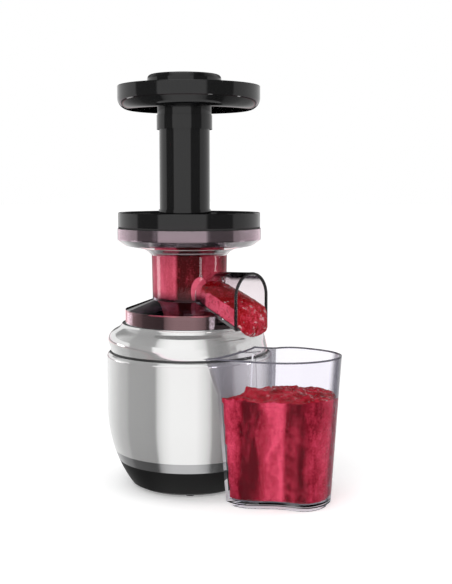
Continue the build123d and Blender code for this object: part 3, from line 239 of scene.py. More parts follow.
def group(name, inputs, outputs):
    """A shader node group with named inputs and outputs: its tree, input node and output node."""
    tree = bpy.data.node_groups.new(name, "ShaderNodeTree")
    for label, kind, value in inputs:
        socket = tree.interface.new_socket(label, in_out="INPUT", socket_type="NodeSocket" + kind)
        socket.default_value = value
    for label, kind in outputs:
        tree.interface.new_socket(label, in_out="OUTPUT", socket_type="NodeSocket" + kind)
    made = Tree(tree)
    return made, tree.nodes.new("NodeGroupInput"), tree.nodes.new("NodeGroupOutput")


# ------------------------------------------------------------------ shared surface effects
# what each shared effect gives a material
SURFACE = [("Colour", "Color"), ("Roughness", "Float"), ("Normal", "Vector")]
# the width of the smears that make a grained surface's roughness uneven
BROAD_SMEAR = 30.0 * MM


def make_grain_group():
    """Fine moulded or painted grain: a slightly uneven colour, roughness and surface."""
    made, given, result = group(
        "surface_grain",
        [
            ("Colour", "Color", grey(0.5)),
            ("Variation", "Float", 0.1),
            ("Roughness", "Float", 0.4),
            ("Roughness spread", "Float", 0.05),
            ("Grain size", "Float", 0.5),
            ("Grain depth", "Float", 0.02),
        ],
        SURFACE,
    )
    place = made.place()
    per_metre = made.math("DIVIDE", 1.0 / MM, given.outputs["Grain size"])
    fine = made.add("TexNoise", {"Vector": place, "Scale": per_metre, "Detail": 2.0}).outputs[0]
    broad = made.noise(place, BROAD_SMEAR, detail=4.0)
    shade = made.math("ADD", made.swing(fine, 0.5, given.outputs["Variation"]), 1.0)
    smear = made.swing(broad, 0.5, given.outputs["Roughness spread"])
    roughness = made.math("ADD", given.outputs["Roughness"], smear, clamp=True)
    depth = made.product(given.outputs["Grain depth"], MM)
    made.put(made.scaled(given.outputs["Colour"], shade), result.inputs["Colour"])
    made.put(roughness, result.inputs["Roughness"])
    made.put(made.bump(fine, depth), result.inputs["Normal"])
    return made.tree


# sizes of the puree's features
SMEAR_WIDTH = 9.0 * MM
BLOTCH_WIDTH = 6.0 * MM
FIBRE_WIDTH = 1.6 * MM
SEED_SPACING = 2.6 * MM
WET_SPOT_WIDTH = 5.0 * MM
# the middle of the flesh's noise, and how strongly it sways the share of pale flesh
FLESH_MIDDLE = 0.49
FLESH_CONTRAST = 4.0
# what the flesh is multiplied by between the deep and the pale, so that it stays crimson there
CRIMSON_TINT = (1.0, 0.35, 0.42, 1.0)
# the puree's lowest and highest roughness
PULP_ROUGHNESS = (0.12, 0.37)
# a seed's edge, as distances from the middle of its cell
SEED_EDGE = (0.1, 0.22)
# the noise between which a wet spot begins and is whole
WET_EDGE = (0.6, 0.66)


def make_pulp_group():
    """Fruit puree: pale and deep flesh in upright smears, with dark seeds and a lumpy surface."""
    made, given, result = group(
        "fruit_pulp",
        [
            ("Pale", "Color", (0.6, 0.05, 0.12, 1.0)),
            ("Deep", "Color", (0.2, 0.005, 0.02, 1.0)),
            ("Seed", "Color", (0.02, 0.002, 0.004, 1.0)),
            ("Flow", "Float", 0.5),
            ("Unevenness", "Float", 1.0),
            ("Smear length", "Float", 6.0),
            ("Seed share", "Float", 0.3),
            ("Lump depth", "Float", 0.6),
        ],
        SURFACE + [("Wet spots", "Float")],
    )
    place = made.place()
    flat = made.math("DIVIDE", 1.0, given.outputs["Smear length"])
    shrink = made.add("CombineXYZ", {0: 1.0, 1: 1.0, 2: flat}).outputs[0]
    along = made.vector("MULTIPLY", place, shrink)
    smear = made.noise(along, SMEAR_WIDTH, detail=6.0, distortion=0.6)
    blotch = made.noise(place, BLOTCH_WIDTH, detail=5.0, distortion=0.4)
    fibre = made.noise(place, FIBRE_WIDTH, detail=4.0)
    flesh = made.weighted((smear, 0.5), (blotch, 0.25), (fibre, 0.25))
    uneven = made.swing(flesh, FLESH_MIDDLE, given.outputs["Unevenness"])
    sway = made.product(uneven, FLESH_CONTRAST)
    share = made.math("ADD", given.outputs["Flow"], sway, clamp=True)
    body = made.mix(share, given.outputs["Deep"], given.outputs["Pale"])
    body = made.vector("MULTIPLY", body, made.mix(share, CRIMSON_TINT, grey(1.0)))
    cells = made.add(
        "TexVoronoi", {"Vector": place, "Scale": 1.0 / SEED_SPACING, "Randomness": 1.0}
    )
    near = made.ramp(cells.outputs["Distance"], [(SEED_EDGE[0], 1.0), (SEED_EDGE[1], 0.0)])
    draw = made.add("SeparateColor", {0: cells.outputs["Color"]}).outputs[0]
    seeds = made.product(near, made.math("LESS_THAN", draw, given.outputs["Seed share"]))
    squiggle = made.noise(place, WET_SPOT_WIDTH, detail=2.5, distortion=0.7)
    spots = made.ramp(squiggle, [(WET_EDGE[0], 0.0), (WET_EDGE[1], 1.0)])
    depth = made.product(given.outputs["Lump depth"], MM)
    height = made.weighted((blotch, 0.5), (fibre, 0.5))
    made.put(made.mix(seeds, body, given.outputs["Seed"]), result.inputs["Colour"])
    made.put(made.level(fibre, *PULP_ROUGHNESS), result.inputs["Roughness"])
    made.put(made.bump(height, depth), result.inputs["Normal"])
    made.put(spots, result.inputs["Wet spots"])
    return made.tree


# the darkest and the palest ring, and how far the rings sway the roughness
RING_SHADES = (0.88, 1.12)
RING_SMEAR = 0.2


def make_rings_group():
    """Turned or brushed metal: fine rings about the upright axis."""
    made, given, result = group(
        "turned_rings",
        [
            ("Colour", "Color", grey(0.6)),
            ("Roughness", "Float", 0.3),
            ("Ring height", "Float", 0.4),
            ("Depth", "Float", 0.01),
        ],
        SURFACE,
    )
    per_metre = made.math("DIVIDE", 1.0 / MM, given.outputs["Ring height"])
    rows = made.product(made.parts(made.place())[2], per_metre)
    row = made.add("CombineXYZ", {0: 0.0, 1: 0.0, 2: rows}).outputs[0]
    lines = made.add("TexNoise", {"Vector": row, "Scale": 1.0, "Detail": 3.0}).outputs[0]
    shade = made.level(lines, *RING_SHADES)
    smear = made.swing(lines, 0.5, RING_SMEAR)
    roughness = made.math("ADD", given.outputs["Roughness"], smear, clamp=True)
    depth = made.product(given.outputs["Depth"], MM)
    made.put(made.scaled(given.outputs["Colour"], shade), result.inputs["Colour"])
    made.put(roughness, result.inputs["Roughness"])
    made.put(made.bump(lines, depth), result.inputs["Normal"])
    return made.tree


GRAIN = make_grain_group()
PULP = make_pulp_group()
RINGS = make_rings_group()


# ------------------------------------------------------------------ materials
def material(name):
    """A new material: itself, its tree and its output node."""
    made = bpy.data.materials.new(name)
    made.use_nodes = True
    tree = Tree(made.node_tree)
    return made, tree, tree.add("OutputMaterial")


def use_group(tree, shared, values):
    """A shared effect in a material, with the values of its inputs."""
    node = tree.add("Group", node_tree=shared)
    for name, value in values.items():
        tree.put(value, node.inputs[name])
    return node


def set_sockets(shader, sockets):
    """Sets constant values on a shader; the names have _ where the sockets have spaces."""
    for name, value in sockets.items():
        shader.inputs[name.replace("_", " ")].default_value = value


def principled(tree, effect, sockets):
    """A shader whose colour, roughness and normal come from a shared effect."""
    shader = tree.add("BsdfPrincipled")
    tree.put(effect.outputs["Colour"], shader.inputs["Base Color"])
    tree.put(effect.outputs["Roughness"], shader.inputs["Roughness"])
    tree.put(effect.outputs["Normal"], shader.inputs["Normal"])
    set_sockets(shader, sockets)
    return shader


def grained(name, colour, roughness, variation=0.1, spread=0.06, size=0.5, depth=0.01, **sockets):
    """Moulded, cast or painted material with a fine grain; sizes in millimetres."""
    made, tree, output = material(name)
    effect = use_group(tree, GRAIN, {
        "Colour": (*colour, 1.0),
        "Variation": variation,
        "Roughness": roughness,
        "Roughness spread": spread,
        "Grain size": size,
        "Grain depth": depth,
    })
    tree.put(principled(tree, effect, sockets), output.inputs[0])
    return made


def turned_metal(name, colour, roughness, ring, depth):
    """Turned, ground or brushed metal with rings about the upright axis; sizes in millimetres."""
    made, tree, output = material(name)
    effect = use_group(tree, RINGS, {
        "Colour": (*colour, 1.0),
        "Roughness": roughness,
        "Ring height": ring,
        "Depth": depth,
    })
    tree.put(principled(tree, effect, {"Metallic": 1.0}), output.inputs[0])
    return made


# the joint between the two silver shells: its lower and upper end and its colour
JOINT_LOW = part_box("housing_shoulder")[0].z - 0.05 * MM
JOINT_HIGH = JOINT_LOW + 2.1 * MM
JOINT_COLOUR = grey(0.06)


def silver_shell(name, colour, metallic, roughness):
    """Satin silver paint, dark down in the joint between the two shells."""
    made, tree, output = material(name)
    up = tree.parts(tree.place())[2]
    joint = tree.product(
        tree.math("GREATER_THAN", up, JOINT_LOW), tree.math("LESS_THAN", up, JOINT_HIGH)
    )
    effect = use_group(tree, GRAIN, {
        "Colour": tree.mix(joint, (*colour, 1.0), JOINT_COLOUR),
        "Variation": 0.05,
        "Roughness": roughness,
        "Roughness spread": 0.04,
        "Grain size": 0.35,
        "Grain depth": 0.0008,
    })
    shader = principled(tree, effect, {})
    tree.put(tree.product(tree.inverse(joint), metallic), shader.inputs["Metallic"])
    tree.put(shader, output.inputs[0])
    return made


# ------------------------------------------------------------------ how the puree flows, and its painted bands of light and shade
def fruit_puree(name, pale, deep, flow, uneven, smear, seeds, lumps, wet=False, **sockets):
    """Puree; flow gives the share of pale flesh from the tree and the place on the surface."""
    made, tree, output = material(name)
    effect = use_group(tree, PULP, {
        "Pale": (*pale, 1.0),
        "Deep": (*deep, 1.0),
        "Flow": flow(tree, tree.place()),
        "Unevenness": uneven,
        "Smear length": smear,
        "Seed share": seeds,
        "Lump depth": lumps,
    })
    shader = principled(tree, effect, sockets)
    if wet:
        tree.put(effect.outputs["Wet spots"], shader.inputs["Coat Weight"])
    tree.put(shader, output.inputs[0])
    return made


# the direction across the juicer, at right angles to the line from its left front
ACROSS = (math.sqrt(0.5), -math.sqrt(0.5), 0.0)
# the direction from the axis to its left front
OUTWARD = (-math.sqrt(0.5), -math.sqrt(0.5), 0.0)
# shares of pale flesh across the drum and the jug, by millimetres from the main axis: upright bands
# that are painted light and shade, where the walls' shading and reflections fall
DRUM_PAINTED_BANDS = [
    (-38.0, 0.65), (-32.0, 0.85), (-20.0, 0.72), (-14.0, 0.8), (-11.0, 0.1), (9.0, 0.08),
    (13.0, 0.42), (26.0, 0.4), (30.0, 0.2), (38.0, 0.55),
]
JUG_PAINTED_BANDS = [
    (30.0, 0.45), (39.0, 0.7), (44.0, 0.5), (48.0, 0.12), (60.0, 0.1), (66.0, 0.4), (72.0, 0.7),
    (85.0, 0.9), (89.0, 0.35), (97.0, 0.3), (102.0, 0.1), (112.0, 0.45), (118.0, 0.4),
    (135.0, 0.95),
]
# how far the shares reach below none, so that deep bands stay deep
DEEPENING = 0.12


def bands(stops):
    """A flow with upright pale and deep bands across the juicer, from stops of (millimetres,
    share); the bands are painted light and shade.
    """
    low, high = stops[0][0], stops[-1][0]

    def flow(tree, place):
        across = tree.dot(place, ACROSS)
        share = tree.add("MapRange", {0: across, 1: low * MM, 2: high * MM}).outputs[0]
        pale = tree.ramp(share, [((at - low) / (high - low), level) for at, level in stops])
        return tree.level(pale, -DEEPENING, 1.0)

    return flow


# the rounded patch of pale flesh where the drum feeds the spout: its middle and half sizes
FEED_ACROSS = 10.0 * MM
FEED_HALF_WIDTH = 9.0 * MM
FEED_HEIGHT = 198.0 * MM
FEED_HALF_HEIGHT = 15.0 * MM
# its edge, as squared shares of those sizes, and its share of pale flesh
FEED_EDGE = (1.0, 0.86)
FEED_SHARE = 0.8
# the patch is on the drum's near half only, and begins there
NEAR_HALF = (0.0, 10.0 * MM)


def drum_flow(tree, place):
    """Upright bands of painted light and shade, and pale flesh in a rounded patch where the drum
    feeds the spout.
    """
    flow = bands(DRUM_PAINTED_BANDS)(tree, place)
    across = tree.math("SUBTRACT", tree.dot(place, ACROSS), FEED_ACROSS)
    across = tree.math("DIVIDE", across, FEED_HALF_WIDTH)
    up = tree.math("SUBTRACT", tree.parts(place)[2], FEED_HEIGHT)
    up = tree.math("DIVIDE", up, FEED_HALF_HEIGHT)
    apart = tree.math("ADD", tree.product(across, across), tree.product(up, up))
    near = tree.step(tree.dot(place, OUTWARD), *NEAR_HALF)
    patch = tree.product(tree.step(apart, *FEED_EDGE), near)
    return tree.largest(flow, tree.product(patch, FEED_SHARE))


# the strand's flow: the size and depth of the ragged border, and the normals it runs through
RAGGED_WIDTH = 7.0 * MM
RAGGED_DEPTH = 0.8
STRAND_TOP = (0.15, 0.6)
# how far inside the mouth the tongue's colour begins, and how far its border is ragged
TONGUE_REACH = 6.0 * MM
# the share of pale flesh on the sides, and what the top and the tongue take from it
STRAND_SIDES = 0.85
TOP_LOSS = 0.9
TONGUE_LOSS = 0.66


def strand_flow(tree, place):
    """Pale on the strand's sides, deep on its torn top and on the tongue that hangs out."""
    up = tree.parts(tree.add("NewGeometry").outputs["Normal"])[2]
    ragged = tree.swing(tree.noise(place, RAGGED_WIDTH), 0.5, RAGGED_DEPTH)
    top = tree.step(tree.math("ADD", up, ragged), *STRAND_TOP)
    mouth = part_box("bowl")[0].y
    along = tree.math("ADD", tree.parts(place)[1], tree.product(ragged, TONGUE_REACH))
    tongue = tree.step(along, mouth + TONGUE_REACH, mouth)
    inside = tree.product(top, TOP_LOSS, tree.inverse(tongue))
    loss = tree.math("ADD", inside, tree.product(tongue, TONGUE_LOSS))
    return tree.math("SUBTRACT", STRAND_SIDES, loss)


# the share of pale flesh on top of the jug's puree
HEAP_SHARE = 0.45


def even_flow(tree, place):
    """The same share of pale flesh everywhere."""
    return HEAP_SHARE


# ------------------------------------------------------------------ clear plastics
# the size of the smudges, the noise they run through and the roughness they add at most
SMUDGE_WIDTH = 20.0 * MM
SMUDGE_EDGE = (0.35, 0.75)
SMUDGE_GAIN = 2.5


def clear_plastic(name, ior, roughness, look, mirrored, **sockets):
    """Clear moulded plastic.

    look gives its colour, its coat's weight and the shade that lamps cast through it;
    mirrored is what the silver shells' reflections of it are multiplied by.
    """
    made, tree, output = material(name)
    shader = tree.add("BsdfPrincipled")
    shader.inputs["Transmission Weight"].default_value = 1.0
    shader.inputs["IOR"].default_value = ior
    set_sockets(shader, sockets)
    place = tree.place()
    smudge = tree.ramp(
        tree.noise(place, SMUDGE_WIDTH, detail=4.0),
        [(SMUDGE_EDGE[0], roughness), (SMUDGE_EDGE[1], roughness * SMUDGE_GAIN)],
    )
    tree.put(smudge, shader.inputs["Roughness"])
    # facing lets a look darken the colour towards the silhouette: painted shade
    facing = tree.add("LayerWeight", {"Blend": 0.5}).outputs["Facing"]
    colour, coat, shade = look(tree, place, facing)
    tree.put(colour, shader.inputs["Base Color"])
    tree.put(coat, shader.inputs["Coat Weight"])
    rays = tree.add("LightPath").outputs
    # rough refraction counts as glossy too, but only true reflections pass straight through
    bounced = tree.math("SUBTRACT", rays["Is Glossy Ray"], rays["Is Transmission Ray"], clamp=True)
    passes = tree.largest(rays["Is Shadow Ray"], rays["Is Diffuse Ray"], bounced)
    through = tree.add("BsdfTransparent", {0: tree.mix(bounced, shade, mirrored)})
    blend = tree.add("MixShader", {0: passes})
    tree.put(shader, blend.inputs[1])
    tree.put(through, blend.inputs[2])
    tree.put(blend, output.inputs[0])
    return made


# the bowl's colours: the thin smoky tint, its own; darker tints in the cup, the skirt and most on
# the skirt's roof, which are painted shade; the dark edge, painted shade too; and the shades that
# lamps cast
THIN_SMOKE = (0.84, 0.76, 0.79, 1.0)
SHADED_SMOKE = (0.25, 0.17, 0.22, 1.0)
ROOF_SHADED_SMOKE = (0.08, 0.05, 0.07, 1.0)
PAINTED_EDGE_SHADE = (0.006, 0.004, 0.006, 1.0)
THIN_SHADE = (0.97, 0.95, 0.96, 1.0)
DENSE_SHADE = (0.62, 0.52, 0.58, 1.0)
# heights between which the tint is painted darker as shade: in the cup from below, in the skirt
# from above
CUP_SHADE_HEIGHTS = (234.0 * MM, 239.0 * MM)
SKIRT_SHADE_HEIGHTS = (187.0 * MM, 183.0 * MM)
# where the clear spout begins: past the skirt's side, and above its roof farther back
PAST_SKIRT = (-61.5 * MM, -63.0 * MM)
OVER_ROOF = (-42.0 * MM, -46.0 * MM)
ABOVE_ROOF = (178.5 * MM, 179.5 * MM)
BELOW_CUP = (232.0 * MM, 230.0 * MM)
# the skirt's roof, painted darkest as shade: heights between which it begins, and ends
ROOF_FOOT = (177.6 * MM, 178.4 * MM)
ROOF_TOP = (200.0 * MM, 190.0 * MM)
# how far a surface is turned away where its dark edge, which is painted shade, begins and is whole
SPOUT_EDGE_SHADE = (0.42, 0.6)
SMOKE_EDGE_SHADE = (0.62, 0.86)


def bowl_look(tree, place, facing):
    """A thin smoky tint in the drum and the spout; in the cup and the skirt, and most on the
    skirt's roof, a darker tint that is painted shade; dark edges, painted shade too.
    """
    parts = tree.parts(place)
    along, up = parts[1], parts[2]
    shade_zones = tree.largest(tree.step(up, *CUP_SHADE_HEIGHTS), tree.step(up, *SKIRT_SHADE_HEIGHTS))
    over_roof = tree.product(tree.step(along, *OVER_ROOF), tree.step(up, *ABOVE_ROOF))
    outside = tree.largest(tree.step(along, *PAST_SKIRT), over_roof)
    spout = tree.product(outside, tree.step(up, *BELOW_CUP))
    shade_share = tree.product(shade_zones, tree.inverse(spout))
    roof = tree.product(tree.step(up, *ROOF_FOOT), tree.step(up, *ROOF_TOP))
    tint = tree.mix(roof, tree.mix(shade_share, THIN_SMOKE, SHADED_SMOKE), ROOF_SHADED_SMOKE)
    tint = tree.mix(spout, tint, THIN_SMOKE)
    wide = tree.product(tree.step(facing, *SPOUT_EDGE_SHADE), spout)
    narrow = tree.product(tree.step(facing, *SMOKE_EDGE_SHADE), shade_share)
    colour = tree.mix(tree.largest(wide, narrow), tint, PAINTED_EDGE_SHADE)
    coat = tree.product(shade_share, tree.inverse(roof))
    return colour, coat, tree.mix(shade_share, THIN_SHADE, DENSE_SHADE)


LILAC = (0.945, 0.932, 0.972, 1.0)
LILAC_SHADE = (0.96, 0.955, 0.975, 1.0)
# the jug's dark edge, painted shade, and how far the surface is turned away where it begins and is
# whole
LILAC_EDGE_SHADE = (0.10, 0.095, 0.12, 1.0)
JUG_EDGE_SHADE = (0.36, 0.6)


def jug_look(tree, place, facing):
    """Faint lilac, painted darker towards the silhouette as shade."""
    return tree.mix(tree.step(facing, *JUG_EDGE_SHADE), LILAC, LILAC_EDGE_SHADE), 0.0, LILAC_SHADE


# ------------------------------------------------------------------ the finishes
silver_paint = silver_shell("satin_silver", (0.82, 0.82, 0.815), metallic=0.76, roughness=0.1)
band_metal = turned_metal("brushed_band", (0.46, 0.46, 0.465), 0.14, ring=0.25, depth=0.001)
base_black = grained(
    "satin_black", (0.006, 0.006, 0.006), 0.45, variation=0.3, size=0.4, depth=0.006,
    Specular_IOR_Level=0.12,
)
gloss_black = grained(
    "gloss_black", (0.004, 0.004, 0.0042), 0.05, variation=0.2, spread=0.03, size=2.5, depth=0.002,
)
black_rubber = grained(
    "black_rubber", (0.018, 0.018, 0.018), 0.75, variation=0.3, size=0.3, depth=0.02,
)
switch_face = grained(
    "switch_face", (0.02, 0.02, 0.021), 0.22, variation=0.2, size=0.4, depth=0.004,
)
machined_steel = turned_metal("machined_steel", (0.56, 0.57, 0.58), 0.28, ring=0.3, depth=0.004)
laminations = turned_metal("laminations", (0.3, 0.3, 0.32), 0.45, ring=0.5, depth=0.03)
copper_wire = turned_metal("enamelled_wire", (0.55, 0.2, 0.06), 0.3, ring=0.8, depth=0.1)
zinc_casting = grained(
    "zinc_casting", (0.42, 0.42, 0.43), 0.42, variation=0.15, size=0.8, depth=0.03, Metallic=0.9,
)
fan_plastic = grained("fan_plastic", (0.035, 0.035, 0.037), 0.5, variation=0.2)
pale_case = grained("pale_case", (0.62, 0.62, 0.6), 0.4, variation=0.06)
gear_nylon = grained(
    "gear_nylon", (0.78, 0.75, 0.66), 0.38, variation=0.06, Subsurface_Weight=0.1,
)
bush_acetal = grained("bush_acetal", (0.55, 0.53, 0.5), 0.35, variation=0.08)
magnet_ferrite = grained(
    "ferrite", (0.06, 0.06, 0.062), 0.5, variation=0.2, size=0.6, depth=0.02,
)
auger_plastic = grained("auger_plastic", (0.03, 0.028, 0.027), 0.3, variation=0.2)
smoke_clear = clear_plastic(
    "smoky_clear", ior=1.45, roughness=0.02, look=bowl_look, mirrored=grey(1.0),
    Coat_IOR=2.3, Coat_Roughness=0.02, Specular_Tint=(1.0, 0.9, 0.94, 1.0),
)
# mirrored above 1 brightens the jug where the silver shells reflect it: painted light
jug_clear = clear_plastic(
    "lilac_clear", ior=1.2, roughness=0.01, look=jug_look, mirrored=grey(1.05),
    Specular_Tint=grey(0.6),
)
# opaque dark beads at the spout's mouth and the jug's rim: painted shade for the dark look of the
# clear plastic's edges
spout_lip_painted_dark = grained("lip_painted_shade", (0.004, 0.003, 0.004), 0.08, size=1.0, depth=0.002)
rim_painted_shade = grained("lilac_rim_painted_shade", (0.12, 0.115, 0.14), 0.08, size=1.0, depth=0.002)
# the drum's and the wall's puree take upright bands of painted light and shade across the juicer
drum_puree = fruit_puree(
    "puree_at_drum", pale=(0.86, 0.16, 0.25), deep=(0.06, 0.002, 0.004), flow=drum_flow,
    uneven=0.35, smear=7.0, seeds=0.06, lumps=0.08, Specular_IOR_Level=0.1,
)
wall_puree = fruit_puree(
    "puree_at_wall", pale=(0.70, 0.072, 0.14), deep=(0.085, 0.004, 0.014), flow=bands(JUG_PAINTED_BANDS),
    uneven=0.6, smear=4.0, seeds=0.15, lumps=0.1, Specular_IOR_Level=0.05,
)
wet_puree = fruit_puree(
    "wet_puree", pale=(0.50, 0.02, 0.045), deep=(0.12, 0.001, 0.005), flow=even_flow,
    uneven=0.9, smear=1.2, seeds=0.45, lumps=0.3, wet=True,
    Specular_IOR_Level=0.08, Coat_IOR=3.0, Coat_Roughness=0.04,
)
strand_puree = fruit_puree(
    "strand_puree", pale=(0.82, 0.125, 0.21), deep=(0.22, 0.003, 0.007), flow=strand_flow,
    uneven=0.75, smear=1.5, seeds=0.25, lumps=0.16, wet=True,
    Specular_IOR_Level=0.08, Coat_IOR=3.5, Coat_Roughness=0.04,
)

FINISHES = {
    silver_paint: ["housing_body", "housing_shoulder"],
    band_metal: ["trim_band"],
    base_black: ["base_tray", "bottom_cover", "deck_plate", "switch_bezel", "cord_gland"],
    black_rubber: ["feet", "drive_seal", "lid_seal", "bowl_seal", "pulp_packing"],
    switch_face: ["switch_rocker"],
    machined_steel: [
        "cover_screws", "gearbox_screws", "rotor_shaft", "layshaft", "drive_shaft", "auger_socket",
        "motor_bearings", "layshaft_bearings", "output_bearing", "strainer_mesh",
    ],
    laminations: ["motor_stator", "rotor_core"],
    copper_wire: ["motor_windings"],
    zinc_casting: [
        "motor_bracket_lower", "motor_bracket_upper", "gearbox_housing", "gearbox_cover",
    ],
    fan_plastic: ["cooling_fan"],
    pale_case: ["run_capacitor", "bowl_sensor"],
    gear_nylon: ["layshaft_gear", "output_gear"],
    bush_acetal: ["bowl_bush", "strainer_frame"],
    magnet_ferrite: ["bowl_magnet"],
    auger_plastic: ["auger"],
    gloss_black: ["lid", "feed_tube", "tray", "pusher_cap", "pusher_stem", "pusher_tip"],
    smoke_clear: ["bowl"],
    jug_clear: ["jug"],
}


def finish_nodes():
    """Gives every CAD node its material."""
    for finish, names in FINISHES.items():
        for name in names:
            slots = nodes[name].material_slots
            if not slots:
                nodes[name].data.materials.append(finish)
            for slot in slots:
                slot.material = finish


# ------------------------------------------------------------------ mesh helpers
def dressed(piece, finishes):
    """Gives a piece its materials and smooth shading."""
    piece.data.materials.clear()
    for finish in finishes:
        piece.data.materials.append(finish)
    for face in piece.data.polygons:
        face.use_smooth = True


def add_piece(name, mesh, finish, body):
    """A piece made of that mesh, which rides on a body and has a material."""
    piece = in_scene(name, mesh)
    dressed(piece, [finish])
    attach(piece, body)


def settle(piece, finishes, body, slot, *stands_for):
    """Gives a finished soft piece its materials and its body, and hides the nodes it replaces; slot
    is not used.
    """
    dressed(piece, finishes)
    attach(piece, body)
    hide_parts(*stands_for)


def evaluated(piece):
    """A new mesh in the shape that a piece's modifiers or curve give."""
    graph = bpy.context.evaluated_depsgraph_get()
    return bpy.data.meshes.new_from_object(piece.evaluated_get(graph))


# points nearer to each other than this are one point
WELD_DISTANCE = 1e-6


def welded(mesh):
    """A mesh with its doubled points joined, for editing."""
    bm = bmesh.new()
    bm.from_mesh(mesh)
    bmesh.ops.remove_doubles(bm, verts=bm.verts, dist=WELD_DISTANCE)
    return bm


def remeshed(node, name, cell, relaxing=4):
    """A copy of a CAD node's form as an even mesh of cells about that many metres wide."""
    piece = in_scene(name, nodes[node].data.copy())
    bm = welded(piece.data)
    bm.to_mesh(piece.data)
    bm.free()
    modifier = piece.modifiers.new("cells", "REMESH")
    modifier.mode = "VOXEL"
    modifier.voxel_size = cell
    relax = piece.modifiers.new("relax", "SMOOTH")
    relax.factor = 0.5
    relax.iterations = relaxing
    mesh = evaluated(piece)
    piece.modifiers.clear()
    piece.data = mesh
    return piece


def shifted(piece, offset_of):
    """Moves each vertex of a piece by what offset_of says for its place and normal."""
    mesh = piece.data
    offsets = [offset_of(v.co, v.normal) for v in mesh.vertices]
    for vertex, offset in zip(mesh.vertices, offsets):
        vertex.co += offset
    mesh.update()


def kept_inside(piece, low, high, axes):
    """Pulls the vertices of a piece back between two corners, along some axes."""
    for vertex in piece.data.vertices:
        for axis in axes:
            vertex.co[axis] = clamped(vertex.co[axis], low[axis], high[axis])


# the lumps' noise: how fast its finer layers fade, how much finer each is, and their number
LUMP_FADING = 0.8
LUMP_LACUNARITY = 2.0
LUMP_OCTAVES = 3


def lumps(place, size, seed):
    """A smooth random value between about -1 and 1."""
    start = Vector((seed, seed * 0.37, -seed))
    return noise.fractal(place / size + start, LUMP_FADING, LUMP_LACUNARITY, LUMP_OCTAVES)


# ------------------------------------------------------------------ rounded lips
def runs(ring):
    """The straight runs of a closed ring of points, each a start and an end."""
    return zip(ring, ring[1:] + ring[:1])


def ring_length(ring):
    return sum((a - b).length for a, b in runs(ring))


def closed_rings(edges):
    """The closed rings of points that a set of mesh edges makes, the longest first."""
    beside = {}
    for edge in edges:
        for here, there in (edge.verts, reversed(edge.verts)):
            beside.setdefault(here, []).append(there)
    rings = []
    left = set(beside)
    while left:
        at = min(left, key=lambda v: v.index)
        ring = []
        while at is not None:
            left.discard(at)
            ring.append(at.co.copy())
            at = next((v for v in beside[at] if v in left), None)
        rings.append(ring)
    return sorted(rings, key=ring_length, reverse=True)


def nearest_on(ring, point):
    """The point of a closed ring of straight runs that is nearest to a point."""
    best = None
    for a, b in runs(ring):
        share = intersect_point_line(point, a, b)[1]
        spot = a.lerp(b, clamped(share))
        if best is None or (spot - point).length < (best - point).length:
            best = spot
    return best


# the fewest points that a bead's line has
FEWEST_POINTS = 8


def evenly(ring, spacing):
    """The same closed ring with points at equal distances."""
    count = max(int(ring_length(ring) / spacing), FEWEST_POINTS)
    pace = ring_length(ring) / count
    points = []
    gone = 0.0
    due = 0.0
    for a, b in runs(ring):
        run = (b - a).length
        while run > 0.0 and due <= gone + run and len(points) < count:
            points.append(a.lerp(b, (due - gone) / run))
            due += pace
        gone += run
    return points


def swept(name, ring, radius):
    """A round bead as a mesh, swept along a closed ring of points."""
    curve = bpy.data.curves.new(name, "CURVE")
    curve.dimensions = "3D"
    curve.bevel_depth = radius
    curve.bevel_resolution = 3
    spline = curve.splines.new("POLY")
    spline.points.add(len(ring) - 1)
    for knot, point in zip(spline.points, ring):
        knot.co = (*point, 1.0)
    spline.use_cyclic_u = True
    shaper = in_scene(name + "_line", curve)
    mesh = evaluated(shaper)
    bpy.data.objects.remove(shaper)
    return mesh


# the distance between the points of a bead's line
BEAD_PACE = 0.7 * MM


def lip_middle(node, point, normal):
    """The middle line of a node's wall, where a plane cuts it."""
    bm = welded(nodes[node].data)
    sliced = bmesh.ops.bisect_plane(
        bm, geom=bm.verts[:] + bm.edges[:] + bm.faces[:], plane_co=point, plane_no=normal,
    )
    bm.verts.index_update()
    edges = [item for item in sliced["geom_cut"] if isinstance(item, bmesh.types.BMEdge)]
    outer, inner = closed_rings(edges)[:2]
    middle = [(spot + nearest_on(inner, spot)) / 2.0 for spot in evenly(outer, BEAD_PACE)]
    bm.free()
    return middle


UP = Vector((0.0, 0.0, 1.0))
# the spout's bead: how far it lies inside the mouth, and its radius
LIP_INSET = 1.1 * MM
LIP_RADIUS = 1.4 * MM
# how far the jug's pouring end rises above the rest of its rim
JUG_CREST = 7.0 * MM
# the rim's bead: how far below the rim its line is measured, how deep it lies and its radius
RIM_CUT = 3.0 * MM
RIM_DEPTH = 0.5 * MM
RIM_RADIUS = 0.85 * MM


def make_lips():
    """The rounded lip of the spout's mouth and the rounded rim of the jug, as opaque dark beads:
    painted shade for the dark look of the clear plastic's edges.
    """
    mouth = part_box("bowl")[0].y + LIP_INSET
    ring = lip_middle("bowl", Vector((0.0, mouth, 0.0)), Vector((0.0, 1.0, 0.0)))
    lip = swept("spout_lip_painted_dark", ring, LIP_RADIUS)
    add_piece("spout_lip_painted_dark", lip, spout_lip_painted_dark, "bowl_set")

    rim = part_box("jug")[1].z - JUG_CREST
    ring = lip_middle("jug", UP * (rim - RIM_CUT), UP)
    jug = BVHTree.FromObject(nodes["jug"], bpy.context.evaluated_depsgraph_get())
    above = 2.0 * JUG_CREST
    for spot in ring:
        top = jug.ray_cast(spot + UP * above, -UP, above)[0]
        spot.z = max(rim, top.z if top is not None else rim) - RIM_DEPTH
    add_piece("jug_rim", swept("jug_rim", ring, RIM_RADIUS), rim_painted_shade, "jug_set")


# ------------------------------------------------------------------ puree
# how far the puree's sides move out, so that it wets the wall, and which normals are sides
WETTING = 0.34 * MM
SIDE_NORMAL = 0.6


